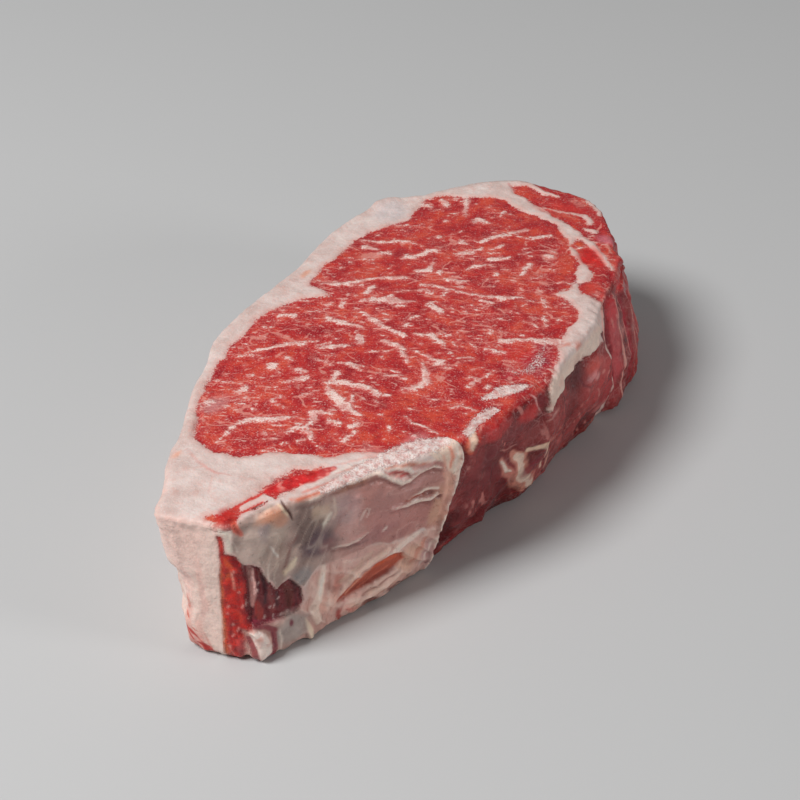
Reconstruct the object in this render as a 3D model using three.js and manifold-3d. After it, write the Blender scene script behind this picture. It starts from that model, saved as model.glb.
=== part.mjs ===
// A raw striploin steak, cut thick, lying on its lower cut face. Millimetres, +Z up.
// The origin is the middle of the footprint, on the surface that the steak lies on.
// +X points to the broad end and -X to the fat tail. +Y is the side of the fat cap.
// One closed body is drawn first: two cut faces joined by a bulging side wall. Columns that follow the
// edges of the muscles then part it into the lean pieces and the fat that runs through the steak between them.
import * as THREE from "three";
import { mergeVertices } from "three/addons/utils/BufferGeometryUtils.js";
import Module from "manifold-3d";

// Driving dimensions
const LENGTH = 200; // from the tip of the tail to the broad end, on the upper cut face
const THICKNESS = 45.5; // between the two cut faces
const SEAM_GAP = 0.3; // between each muscle and the fat beside it
const LEAN_OF_CUT = new THREE.Vector2(5, 0.5); // how far the lower face lies beyond the upper one

// Fineness of the surface
const RIM_STEP = 4.2; // along the rim
const ROUND_STEPS = 3; // over the upper rounded edge
const WALL_STEPS = 7; // down the side wall
const HEEL_STEPS = 2; // under the lower rounded edge
const FACE_SHARES = [0.14, 0.32, 0.54, 0.8]; // rings of the upper face, from the rim towards the spine

// Outlines are drawn for a steak of DRAWN_LENGTH, and scaled to LENGTH
const DRAWN_LENGTH = 200;
const SCALE = LENGTH / DRAWN_LENGTH;
const ABOVE = THICKNESS + 8; // columns start over the upper face
const BELOW = -8; // and end under the lower one
const BEYOND = 62; // where a muscle lies open at the side, its column runs out to here

// The rim, anticlockwise from the broad end. Each station has its place on the upper face, its place on the
// lower face, the radius of the upper edge there, and how far the wall swells between the faces.
const STATIONS = [
  { upper: [100.2, 3.2], lower: [106.3, -3], round: 2.2, swell: 2.0 },
  { upper: [99.8, 12], lower: [105.3, 9.5], round: 2.0, swell: 2.0 },
  { upper: [93.6, 22.2], lower: [100, 22], round: 2.0, swell: 2.0 },
  { upper: [85.2, 30.2], lower: [91, 31], round: 2.0, swell: 1.5 },
  { upper: [75.2, 37.6], lower: [80, 39], round: 2.0, swell: 1.5 },
  { upper: [66.3, 45.6], lower: [69, 45.5], round: 1.6, swell: 1.2 },
  { upper: [57.2, 48.4], lower: [60, 48], round: 2.0, swell: 1.5 },
  { upper: [44, 50.2], lower: [48, 49.5], round: 2.2, swell: 2.2 },
  { upper: [17, 48.6], lower: [22, 48.5], round: 2.4, swell: 2.5 },
  { upper: [-8.5, 49.5], lower: [-3, 48.5], round: 2.4, swell: 2.5 },
  { upper: [-24.8, 48.7], lower: [-19, 47], round: 2.4, swell: 2.4 },
  { upper: [-37.2, 43.8], lower: [-32, 43.5], round: 2.2, swell: 2.4 },
  { upper: [-52.3, 38.3], lower: [-47, 37.5], round: 2.2, swell: 2.0 },
  { upper: [-66.5, 32], lower: [-59.4, 29], round: 2.0, swell: 1.6 },
  { upper: [-79.5, 27.2], lower: [-68.4, 20.4], round: 2.0, swell: 0.6 },
  { upper: [-91, 20.3], lower: [-80, 16.2], round: 1.8, swell: 0.2 },
  { upper: [-100.4, 15.9], lower: [-92, 14.2], round: 1.0, swell: 0.2 },
  { upper: [-99.4, 12.2], lower: [-96.8, 10.6], round: 1.0, swell: 0.6 },
  { upper: [-97, 5.5], lower: [-97, 4], round: 1.0, swell: 0.6 },
  { upper: [-95, -1], lower: [-95.8, -3.6], round: 1.0, swell: 0.6 },
  { upper: [-91, -5], lower: [-92.4, -9.4], round: 1.2, swell: 0.6 },
  { upper: [-80, -11], lower: [-82.6, -13.4], round: 1.4, swell: 0.8 },
  { upper: [-66, -18.5], lower: [-68.4, -19.4], round: 1.6, swell: 1.4 },
  { upper: [-51, -27.5], lower: [-52.4, -24.6], round: 2.4, swell: 2.2 },
  { upper: [-34, -36.2], lower: [-35.4, -27.6], round: 3.0, swell: 2.4 },
  { upper: [-16, -40.8], lower: [-16.6, -28.2], round: 4.2, swell: 2.6 },
  { upper: [6, -43.4], lower: [6.6, -36.6], round: 4.6, swell: 3.0 },
  { upper: [28, -43.2], lower: [28.8, -36.8], round: 4.0, swell: 3.0 },
  { upper: [50, -39.2], lower: [53.5, -41.2], round: 3.0, swell: 3.0 },
  { upper: [68.4, -33.8], lower: [75, -40], round: 2.4, swell: 2.6 },
  { upper: [82.6, -26], lower: [88.8, -30.2], round: 2.4, swell: 2.4 },
  { upper: [94.4, -17.4], lower: [99.8, -18], round: 2.2, swell: 2.2 },
  { upper: [100.6, -7.4], lower: [105.4, -11], round: 2.2, swell: 2.0 },
];
const HEEL_RADIUS = 4; // of the lower edge, which slumps on what the steak lies on
const HEEL_TUCK = 0.6; // the share of that radius by which the lower face draws in
const SOLE_SHARE = 0.8; // where the one ring of the lower face lies, from the rim towards the spine
const SPINE = { half: 56, y: 1.5, narrowing: 0.7 }; // the rings of a cut face close in on this line

// The large muscle. It lies open at the front of the steak, between the fat tail and the rim fat.
const EYE_CLOSED = [
  [84.2, 11.5], [83, 18], [79, 23], [78.2, 30], [73.5, 34.6], [67.5, 34], [61, 32.8],
  [55.5, 36.5], [48, 40], [40, 41.8], [33, 40.6], [25, 40.8], [16.5, 41], [11, 39], [11, 33],
  [9, 31], [5, 35.5], [-1, 39.6], [-9, 42.6], [-19, 41.6], [-29, 42], [-40, 39.4], [-51, 35.4],
  [-60.5, 30], [-67.5, 26.8], [-70.4, 20], [-70.2, 11.5], [-64, 4.6], [-60, -1.5], [-58, -8.2],
  [-52.4, -13.5], [-49, -20], [-44, -26],
];
// The free edge of the fat tail slants back as it goes down
const EYE_EDGE_UPPER = [[-38.5, -28.6], [-34.6, -32.4], [-33.2, -37], [-32.5, -BEYOND]];
const EYE_EDGE_LOWER = [[-41, -27.2], [-39, -30], [-38, -34], [-37.5, -BEYOND]];
// Towards the broad end its front edge is hidden behind a flap of rim fat in the upper third only
const EYE_RIM_UPPER = [
  [2, -BEYOND], [7, -43.4], [12.2, -41.6], [17.5, -40], [24, -37.4], [32, -37.6], [38.5, -36.4],
  [41.5, -31.5], [43.8, -26],
];
const EYE_RIM_LOWER = [
  [2, -BEYOND], [7, -BEYOND], [13, -BEYOND], [20, -BEYOND], [27, -BEYOND], [35, -BEYOND],
  [44.4, -BEYOND], [44.8, -45], [45.2, -29],
];
const EYE_SEAM = [
  [49, -28], [56.5, -26.6], [62.5, -24.8], [66.5, -19.6], [74.5, -14.4], [79.3, -8.5],
  [80.6, -1.5], [82.6, 5.5],
];
const RIM_FAT_HEIGHT = 10; // how far the flap of rim fat hangs down the wall
const RIM_FAT_TAPER = 3; // the depth over which it thins out

// The muscle beyond the seam, which lies open round the broad end
const SIDE_MUSCLE = [
  [93.5, 14], [90.2, 11.5], [89, 4], [85.4, -1.8], [83.4, -7], [82.8, -12.4], [78.6, -18],
  [71, -21], [65, -27.4], [58.5, -31], [48.6, -33], [47.6, -42], [47, -BEYOND], [92, -BEYOND],
  [118, -30], [118, 4], [101, 10.5],
];

// The strip of lean in the tail. It shows on the cut face as a lens, and lies open lower down at the
// corner of the tail, where only a band of it reaches the lower face.
const TAIL_STRIP_UPPER = [
  [-104, -2.4], [-100, -2.6], [-93, -2.8], [-86.5, -3.8], [-80, -6.2], [-73, -9.2], [-67.5, -11.2],
  [-62.4, -10.4], [-67, -5.2], [-73, -2.4], [-80, -1], [-87, 0.6], [-94, 2], [-104, 1.5],
];
const TAIL_STRIP_OPEN = [
  [-104, -16], [-94, -26], [-86.5, -26], [-82.8, -17], [-80, -12.6], [-75, -11.2], [-69.5, -11],
  [-65.5, -9.6], [-69.5, -5.4], [-75.5, -2.8], [-81, -0.8], [-87.5, 0.8], [-94, 1.4], [-104, 0.6],
];
const TAIL_STRIP_FOOT = [
  [-104, -20], [-97.6, -14], [-95.4, -8.6], [-91, -7.6], [-84, -8.8], [-78, -9.2], [-71, -10],
  [-67.5, -9.4], [-71, -6.6], [-77, -3.8], [-83, -1.6], [-88.5, 0.2], [-94.5, 0.4], [-104, -0.6],
];
// The shares of the thickness between which it opens, and between which it closes again to the foot
const TAIL_STRIP_OPENS = [0.82, 0.5];
const TAIL_STRIP_CLOSES = [0.26, 0.18];

// Slow swells of the cut faces and the wall: height, and waves per millimetre
const FACE_RELIEF = [
  { height: 0.55, along: 0.062, across: 0.021, phase: 0.6 },
  { height: 0.4, along: -0.035, across: 0.105, phase: 2.1 },
];
const FACE_CROWN = 1.0; // the middle of the upper face stands this far above its rim
const WALL_RELIEF = [
  { height: 0.5, along: 0.19, up: 0.055, phase: 1.3 },
  { height: 0.35, along: 0.43, up: -0.085, phase: 0.2 },
];
// Lobes of bare muscle on the front wall, and the grooves between them, which stand in (negative)
const FRONT_LOBES = [
  { x: -16, z: 13, wide: 11, tall: 11, out: 1.8 },
  { x: 2, z: 29, wide: 11, tall: 7, out: 1.4 },
  { x: 31, z: 25, wide: 11, tall: 13, out: 1.6 },
  { x: -3, z: 7, wide: 5, tall: 9, out: -1.8 },
  { x: 16, z: 22, wide: 5, tall: 12, out: -1.6 },
  { x: 51, z: 10, wide: 4.5, tall: 16, out: -2.2 },
];

const wasm = await Module();
wasm.setup();

const scaled = ([x, y]) => new THREE.Vector2(x * SCALE, y * SCALE);

// Points on the rim about RIM_STEP apart. The third number of each curve carries the radius and the swell.
function rimSamples() {
  const curveOf = (side, extra) =>
    new THREE.CatmullRomCurve3(
      STATIONS.map((station) => {
        const place = scaled(station[side]);
        return new THREE.Vector3(place.x, place.y, station[extra] * SCALE);
      }),
      true,
      "centripetal",
    );
  const upper = curveOf("upper", "round");
  const lower = curveOf("lower", "swell");
  const samples = [];
  STATIONS.forEach((station, index) => {
    const next = STATIONS[(index + 1) % STATIONS.length];
    const span = scaled(station.upper).distanceTo(scaled(next.upper));
    const steps = Math.max(1, Math.round(span / RIM_STEP));
    for (let step = 0; step < steps; step += 1) {
      const along = (index + step / steps) / STATIONS.length;
      const above = upper.getPoint(along);
      const under = lower.getPoint(along);
      samples.push({
        upper: new THREE.Vector2(above.x, above.y),
        lower: new THREE.Vector2(under.x, under.y),
        round: above.z,
        swell: under.z,
      });
    }
  });
  let travelled = 0;
  samples.forEach((sample, index) => {
    const before = samples[(index - 1 + samples.length) % samples.length].upper;
    const after = samples[(index + 1) % samples.length].upper;
    const tangent = after.clone().sub(before).normalize();
    sample.outward = new THREE.Vector2(tangent.y, -tangent.x);
    sample.travelled = travelled;
    travelled += sample.upper.distanceTo(after);
  });
  return samples;
}

// The upper face rises to a crown in the middle, and its swells fade out there
function faceRelief(x, y, share) {
  const inward = share / FACE_SHARES.at(-1);
  const waves = FACE_RELIEF.map(
    (wave) => wave.height * Math.sin(wave.along * x + wave.across * y + wave.phase),
  );
  const crown = FACE_CROWN * Math.sin((inward * Math.PI) / 2);
  return waves.reduce((sum, wave) => sum + wave, 0) * (1 - inward ** 2) + crown;
}

function wallRelief(travelled, z) {
  const fade = Math.sin((Math.PI * z) / THICKNESS);
  const waves = WALL_RELIEF.map(
    (wave) => wave.height * Math.sin(wave.along * travelled + wave.up * z + wave.phase),
  );
  return fade * waves.reduce((sum, wave) => sum + wave, 0);
}

function frontLobes(place, z) {
  if (place.y > 0) return 0;
  const heights = FRONT_LOBES.map((lobe) => {
    const sideways = (place.x / SCALE - lobe.x) / lobe.wide;
    const upwards = (z - lobe.z) / lobe.tall;
    return lobe.out * Math.exp(-(sideways ** 2) - upwards ** 2);
  });
  return heights.reduce((sum, height) => sum + height, 0);
}

// One ring of the wall: at a height, drawn in from the widest place there
function wallRing(samples, height, inset) {
  return samples.map((sample) => {
    const z = height(sample);
    const share = z / THICKNESS;
    const place = sample.lower.clone().lerp(sample.upper, share);
    const swell =
      sample.swell * 4 * share * (1 - share) + wallRelief(sample.travelled, z) + frontLobes(place, z);
    place.addScaledVector(sample.outward, swell - inset(sample));
    return new THREE.Vector3(place.x, place.y, z);
  });
}

// A ring of a cut face, between its outermost ring and the spine
function faceRing(edge, share, heightAt) {
  return edge.map((point) => {
    const half = SPINE.half * SCALE;
    const spineX = THREE.MathUtils.clamp(point.x * SPINE.narrowing, -half, half);
    const x = THREE.MathUtils.lerp(point.x, spineX, share);
    const y = THREE.MathUtils.lerp(point.y, SPINE.y * SCALE, share);
    return new THREE.Vector3(x, y, heightAt(x, y, share));
  });
}

// The rings of the whole body, from the middle of the upper face to the middle of the lower one
function bodyRings() {
  const samples = rimSamples();
  const quarter = Math.PI / 2;
  const rounded = [];
  for (let step = 0; step <= ROUND_STEPS; step += 1) {
    const turn = quarter * (1 - step / ROUND_STEPS);
    rounded.push(
      wallRing(
        samples,
        (sample) => THICKNESS - sample.round * (1 - Math.sin(turn)),
        (sample) => sample.round * (1 - Math.cos(turn)),
      ),
    );
  }
  const upperFace = (x, y, share) => THICKNESS + faceRelief(x, y, share);
  rounded[0].forEach((point) => (point.z = upperFace(point.x, point.y, 0)));
  const face = FACE_SHARES.map((share) => faceRing(rounded[0], share, upperFace)).reverse();
  const wall = [];
  const heel = HEEL_RADIUS * SCALE;
  for (let step = 1; step < WALL_STEPS; step += 1) {
    const share = step / WALL_STEPS;
    wall.push(
      wallRing(
        samples,
        (sample) => THREE.MathUtils.lerp(THICKNESS - sample.round, heel, share),
        () => 0,
      ),
    );
  }
  for (let step = 0; step <= HEEL_STEPS; step += 1) {
    const turn = (quarter * step) / HEEL_STEPS;
    wall.push(
      wallRing(
        samples,
        () => heel * (1 - Math.sin(turn)),
        () => heel * (1 - Math.cos(turn)) * HEEL_TUCK,
      ),
    );
  }
  const sole = faceRing(wall.at(-1), SOLE_SHARE, () => 0);
  return [...face, ...rounded, ...wall, sole];
}

// A closed geometry from a stack of rings with equal counts, its two ends filled flat
function skinned(rings) {
  const count = rings[0].length;
  const positions = rings.flat().flatMap((point) => [point.x, point.y, point.z]);
  const faces = [];
  for (let level = 0; level + 1 < rings.length; level += 1) {
    for (let side = 0; side < count; side += 1) {
      const a = level * count + side;
      const b = level * count + ((side + 1) % count);
      faces.push(a, a + count, b, b, a + count, b + count);
    }
  }
  const capOf = (ring) =>
    THREE.ShapeUtils.triangulateShape(ring.map((point) => new THREE.Vector2(point.x, point.y)), []);
  const last = (rings.length - 1) * count;
  capOf(rings[0]).forEach(([a, b, c]) => faces.push(a, b, c));
  capOf(rings.at(-1)).forEach(([a, b, c]) => faces.push(last + a, last + c, last + b));
  const geometry = new THREE.BufferGeometry();
  geometry.setAttribute("position", new THREE.Float32BufferAttribute(positions, 3));
  geometry.setIndex(faces);
  return geometry;
}

function solidOf(geometry) {
  const merged = mergeVertices(geometry, 1e-4);
  return new wasm.Manifold(
    new wasm.Mesh({
      numProp: 3,
      vertProperties: new Float32Array(merged.attributes.position.array),
      triVerts: new Uint32Array(merged.index.array),
    }),
  );
}

function geometryOf(solid) {
  const mesh = solid.getMesh();
  const geometry = new THREE.BufferGeometry();
  geometry.setAttribute("position", new THREE.BufferAttribute(mesh.vertProperties, mesh.numProp));
  geometry.setIndex(new THREE.BufferAttribute(mesh.triVerts, 1));
  const flat = geometry.toNonIndexed();
  flat.computeVertexNormals();
  return flat;
}

// An outline moved outwards by a distance, for the gap between a muscle and the fat
function grown(outline, distance) {
  return outline.map((point, index) => {
    const before = outline[(index - 1 + outline.length) % outline.length];
    const after = outline[(index + 1) % outline.length];
    const tangent = after.clone().sub(before).normalize();
    return point.clone().add(new THREE.Vector2(tangent.y, -tangent.x).multiplyScalar(distance));
  });
}

// A column through the steak. Each level has its height and its outline as drawn on the upper face;
// the column leans with the cut.
function column(levels, gap) {
  const rings = levels.map(({ z, outline }) => {
    const lean = LEAN_OF_CUT.clone().multiplyScalar(SCALE * (1 - z / THICKNESS));
    return grown(outline.map(scaled), gap).map(
      (point) => new THREE.Vector3(point.x + lean.x, point.y + lean.y, z),
    );
  });
  return solidOf(skinned(rings));
}

function eyeColumn(gap) {
  const upper = [...EYE_CLOSED, ...EYE_EDGE_UPPER, ...EYE_RIM_UPPER, ...EYE_SEAM];
  const lower = [...EYE_CLOSED, ...EYE_EDGE_LOWER, ...EYE_RIM_LOWER, ...EYE_SEAM];
  const flapFoot = THICKNESS - RIM_FAT_HEIGHT;
  return column(
    [
      { z: ABOVE, outline: upper },
      { z: flapFoot + RIM_FAT_TAPER + gap, outline: upper },
      { z: flapFoot + gap, outline: lower },
      { z: BELOW, outline: lower },
    ],
    gap,
  );
}

function sideColumn(gap) {
  return column(
    [
      { z: ABOVE, outline: SIDE_MUSCLE },
      { z: BELOW, outline: SIDE_MUSCLE },
    ],
    gap,
  );
}

function tailColumn(gap) {
  const [opening, open] = TAIL_STRIP_OPENS.map((share) => share * THICKNESS + gap);
  const [closing, closed] = TAIL_STRIP_CLOSES.map((share) => share * THICKNESS - gap);
  return column(
    [
      { z: ABOVE, outline: TAIL_STRIP_UPPER },
      { z: opening, outline: TAIL_STRIP_UPPER },
      { z: open, outline: TAIL_STRIP_OPEN },
      { z: closing, outline: TAIL_STRIP_OPEN },
      { z: closed, outline: TAIL_STRIP_FOOT },
      { z: BELOW, outline: TAIL_STRIP_FOOT },
    ],
    gap,
  );
}

const LEAN = { color: 0xb5332e, roughness: 0.42, metalness: 0 };
const OUTER_LEAN = { color: 0x9c2a2c, roughness: 0.4, metalness: 0 };
const FAT = { color: 0xe2cdc2, roughness: 0.5, metalness: 0 };

function named(name, solid, finish) {
  const mesh = new THREE.Mesh(geometryOf(solid), new THREE.MeshStandardMaterial(finish));
  mesh.name = name;
  return mesh;
}

const body = solidOf(skinned(bodyRings()));
const fat = body
  .subtract(eyeColumn(SEAM_GAP))
  .subtract(sideColumn(SEAM_GAP))
  .subtract(tailColumn(SEAM_GAP));

const steak = new THREE.Group();
steak.add(
  named("eye_muscle", body.intersect(eyeColumn(0)), LEAN),
  named("side_muscle", body.intersect(sideColumn(0)), OUTER_LEAN),
  named("tail_muscle", body.intersect(tailColumn(0)), OUTER_LEAN),
  named("fat_cap", fat, FAT),
);

// The footprint's middle goes to the origin
const box = new THREE.Box3().setFromObject(steak);
const middle = box.getCenter(new THREE.Vector3());
steak.position.set(-middle.x, -middle.y, -box.min.z);

export default steak;
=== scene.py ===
import math

import bpy
import numpy as np
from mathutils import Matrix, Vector
from mathutils.bvhtree import BVHTree
from mathutils.kdtree import KDTree


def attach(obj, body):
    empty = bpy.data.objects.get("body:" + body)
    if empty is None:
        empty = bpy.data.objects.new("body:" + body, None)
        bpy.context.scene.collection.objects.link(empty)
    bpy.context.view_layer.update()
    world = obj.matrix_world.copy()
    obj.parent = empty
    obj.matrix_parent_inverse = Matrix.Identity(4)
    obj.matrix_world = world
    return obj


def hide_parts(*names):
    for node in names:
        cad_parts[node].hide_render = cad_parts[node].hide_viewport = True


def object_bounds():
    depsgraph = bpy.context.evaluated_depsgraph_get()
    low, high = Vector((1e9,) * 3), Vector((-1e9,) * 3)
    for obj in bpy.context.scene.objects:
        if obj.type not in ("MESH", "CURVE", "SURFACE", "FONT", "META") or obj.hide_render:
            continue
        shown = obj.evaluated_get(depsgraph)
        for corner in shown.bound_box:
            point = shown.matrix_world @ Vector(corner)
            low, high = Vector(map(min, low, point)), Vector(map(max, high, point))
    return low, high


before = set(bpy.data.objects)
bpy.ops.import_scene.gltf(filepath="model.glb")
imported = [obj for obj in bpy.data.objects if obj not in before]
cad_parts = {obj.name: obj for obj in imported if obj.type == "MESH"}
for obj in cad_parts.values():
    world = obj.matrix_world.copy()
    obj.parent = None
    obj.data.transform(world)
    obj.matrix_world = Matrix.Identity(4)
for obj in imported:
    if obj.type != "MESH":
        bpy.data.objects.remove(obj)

CAD_BOX = [list(corner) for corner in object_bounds()]
LOW = np.array(CAD_BOX[0]) * 1000
HIGH = np.array(CAD_BOX[1]) * 1000

# All lengths below are in millimetres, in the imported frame, until the mesh is written in metres
MM = 0.001
TOP = 45.5  # the upper cut face, before its relief
NODES = ["eye_muscle", "side_muscle", "tail_muscle", "fat_cap"]
MUSCLES = NODES[:3]
LEAN_OF_CUT = (5.0, 0.5)  # how far the muscles shift from the upper face down to the lower one
DRAWN_ORIGIN = (-3.195, -3.427)  # where the drawing of the upper face has its origin
TAIL_TIP = (-99.3, 11.6)  # where the measure round the wall starts, anticlockwise

# Fineness of the visible surface
FRONT_STEP = 0.38  # between columns where the photo shows the wall
BACK_STEP = 0.8
FRONT_END = 222.0  # how far round from the tail tip the finer columns go
FRONT_LEAD = 14.0  # and how far before it they start
UPPER_ROWS = 84
EDGE_ROWS = 12
WALL_ROWS = 82
LOWER_ROWS = 12
EDGE = 5.0  # how far the rims' own rows reach in from the wall and down from the face
SPINE_GAP = 0.5  # how far from the spine the rows of the two faces begin

# The spine is the line inside the steak that the rays aim at
SPINE_SIDE = -1.0  # its y, apart from the tail
SPINE_ENDS = (-80, 74)  # its ends in x
TAIL_BEND = 6.0  # how far it turns aside in the tail
ANCHOR_HALF = 60  # half its length for the first, coarser outline
OUTLINE_TURNS = 1440  # directions in which that outline is measured
OUTLINE_START = 160  # how far out each kind of ray starts
WALL_START = 90
RIM_START = 25
FACE_START = 80

# A sample this far inside its neighbours has fallen into the gap between two solids
OUTLINE_GAP = 0.4
WALL_GAP = 0.25
FACE_GAP = 0.3

# Blur round the steak and down it, in samples, which takes the facets out
OUTLINE_BLUR = 1.2
WALL_BLUR = (2.8, 2.6)
FACE_BLUR = (3.6, 2.0)
RIM_BLUR = (2.4, 0.7)

STEEP = (0.35, 0.75)  # wall turns into face as the normal's upright share goes from one to the other
FAR = 8  # distances to the border between lean and fat are kept below this
BRIGHTEST = 0.88  # no painted colour is lighter than this
OVAL_FADE = 0.45  # how soft an oval's edge is, against its smaller half size
VEIN_COUNT = 330  # random veins, besides the drawn ones
VEIN_SEED = 5


# Coherent noise

SCATTER = (73856093, 19349663, 83492791, 2654435761, 1274126177)  # large odd numbers that mix the bits


def hashed(x, y, z, seed):
    """A number between -1 and 1, the same each time for the same corner of the lattice."""
    mixed = (x * SCATTER[0]) ^ (y * SCATTER[1]) ^ (z * SCATTER[2]) ^ (seed * SCATTER[3])
    mixed = (mixed ^ (mixed >> 13)) * SCATTER[4]
    mixed = mixed ^ (mixed >> 16)
    return (mixed & 0xFFFF) / 32767.5 - 1.0


def noise(points, size, seed=0):
    """Smooth noise from -1 to 1 with bumps about size across. points are rows of x, y and maybe z."""
    places = np.zeros((len(points), 3))
    places[:, : points.shape[1]] = points / size
    cell = np.floor(places).astype(np.int64)
    part = places - cell
    weight = part * part * part * (part * (part * 6 - 15) + 10)
    total = np.zeros(len(points))
    for corner in range(8):
        step = [(corner >> k) & 1 for k in range(3)]
        share = np.ones(len(points))
        for k in range(3):
            share *= weight[:, k] if step[k] else 1 - weight[:, k]
        total += share * hashed(*(cell[:, k] + step[k] for k in range(3)), seed)
    return total


def ridged(points, size, seed=0):
    """Noise with narrow crests at 1 and broad hollows down to -1."""
    return 1 - 2 * np.abs(noise(points, size, seed)) ** 0.7


def smoothstep(low, high, value):
    share = np.clip((value - low) / (high - low), 0, 1)
    return share * share * (3 - 2 * share)


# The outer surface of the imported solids, measured with rays

def tree_of(names):
    points, faces = [], []
    for name in names:
        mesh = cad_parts[name].data
        base = len(points)
        points += [Vector(v.co) / MM for v in mesh.vertices]
        faces += [tuple(base + i for i in p.vertices) for p in mesh.polygons]
    return BVHTree.FromPolygons(points, faces)


WHOLE = tree_of(NODES)


def reach(origins, directions):
    """How far each ray goes before it meets the steak."""
    out = np.full(len(origins), np.nan)
    for i, (origin, direction) in enumerate(zip(origins, directions)):
        hit = WHOLE.ray_cast(Vector(origin), Vector(direction))
        if hit[0] is not None:
            out[i] = hit[3]
    return out


def blur_weights(sigma):
    count = int(math.ceil(3 * sigma))
    weights = np.exp(-0.5 * (np.arange(-count, count + 1) / sigma) ** 2)
    return count, weights / weights.sum()


def ring_blur(values, sigma):
    """Gaussian blur round a closed ring, the first axis. sigma is in samples."""
    count, weights = blur_weights(sigma)
    return sum(weight * np.roll(values, j - count, axis=0) for j, weight in enumerate(weights))


def row_blur(values, sigma):
    """The same down the second axis, whose ends are repeated."""
    count, weights = blur_weights(sigma)
    padded = np.concatenate([values[:, :1]] * count + [values] + [values[:, -1:]] * count, axis=1)
    return sum(weight * padded[:, j : j + values.shape[1]] for j, weight in enumerate(weights))


def smoothed(values, blur):
    return row_blur(ring_blur(values, blur[0]), blur[1])


def without_gaps(values, fall):
    """Replaces samples that missed, or fell into the gap between two solids, by their surroundings."""
    stack = np.stack([np.roll(values, j, axis=0) for j in range(-3, 4)])
    middle = np.nanmedian(stack, axis=0)
    bad = np.isnan(values) | (values < middle - fall)
    return np.where(bad, middle, values)


def mid_outline():
    """The outline half way up, as points from the tail tip anticlockwise, and how far round each lies."""
    turn = np.linspace(0, 2 * math.pi, OUTLINE_TURNS, endpoint=False)
    direction = np.stack([np.cos(turn), np.sin(turn), np.zeros_like(turn)], 1)
    along = ANCHOR_HALF * np.cos(turn)
    anchor = np.stack([along, np.full_like(turn, SPINE_SIDE), np.full_like(turn, TOP / 2)], 1)
    far = OUTLINE_START - reach(anchor + direction * OUTLINE_START, -direction)
    far = without_gaps(far, OUTLINE_GAP)
    outline = ring_blur((anchor + direction * far[:, None])[:, :2], OUTLINE_BLUR)
    first = np.argmin(np.hypot(outline[:, 0] - TAIL_TIP[0], outline[:, 1] - TAIL_TIP[1]))
    outline = np.roll(outline, -first, axis=0)
    closed = np.vstack([outline, outline[:1]])
    length = np.concatenate([[0], np.cumsum(np.hypot(*np.diff(closed, axis=0).T))])
    front = np.arange(0, FRONT_END, FRONT_STEP)
    back = np.arange(FRONT_END, length[-1] - FRONT_LEAD, BACK_STEP)
    lead = np.arange(length[-1] - FRONT_LEAD, length[-1] - FRONT_STEP / 2, FRONT_STEP)
    wanted = np.concatenate([front, back, lead])
    even = np.stack([np.interp(wanted, length, closed[:, k]) for k in (0, 1)], 1)
    return even, wanted


OUTLINE, TRAVEL = mid_outline()
AROUND = len(TRAVEL)
SPINE_X = np.interp(OUTLINE[:, 0], [LOW[0], HIGH[0]], SPINE_ENDS)
SPINE_Y = SPINE_SIDE + TAIL_BEND * smoothstep(-45, -82, SPINE_X)
SPINE = np.stack([SPINE_X, SPINE_Y], 1)
OUT = OUTLINE - SPINE
OUT /= np.hypot(OUT[:, 0], OUT[:, 1])[:, None]


def in_plane(along, height):
    """Points at a distance along each outward direction, and at a height."""
    xy = SPINE[:, None, :] + OUT[:, None, :] * along[:, :, None]
    return np.concatenate([xy, height[:, :, None]], 2)


def wall_reach(heights):
    """How far the wall lies from the spine at each of these heights."""
    rows = []
    for z in heights:
        origin = np.column_stack([SPINE + OUT * WALL_START, np.full(AROUND, z)])
        rows.append(WALL_START - reach(origin, np.column_stack([-OUT, np.zeros(AROUND)])))
    grid = without_gaps(np.stack(rows, 1), WALL_GAP)
    return without_gaps(grid.T, WALL_GAP).T


def edge_reach(centre_along, centre_height, turns):
    """A rounded rim, met by rays that close in on a centre inside it."""
    rows = []
    centre = np.column_stack([SPINE + OUT * centre_along[:, None], np.full(AROUND, centre_height)])
    for turn in turns:
        out = np.column_stack([OUT * math.cos(turn), np.full(AROUND, math.sin(turn))])
        rows.append(RIM_START - reach(centre + out * RIM_START, -out))
    return without_gaps(np.stack(rows, 1), WALL_GAP)


def upper_heights(along):
    """The height of the upper face at each distance from the spine."""
    xy = (SPINE[:, None, :] + OUT[:, None, :] * along[:, :, None]).reshape(-1, 2)
    origin = np.column_stack([xy, np.full(len(xy), float(FACE_START))])
    z = (FACE_START - reach(origin, np.tile([0.0, 0.0, -1.0], (len(xy), 1)))).reshape(along.shape)
    z = without_gaps(z, FACE_GAP)
    return without_gaps(z.T, FACE_GAP).T


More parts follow.
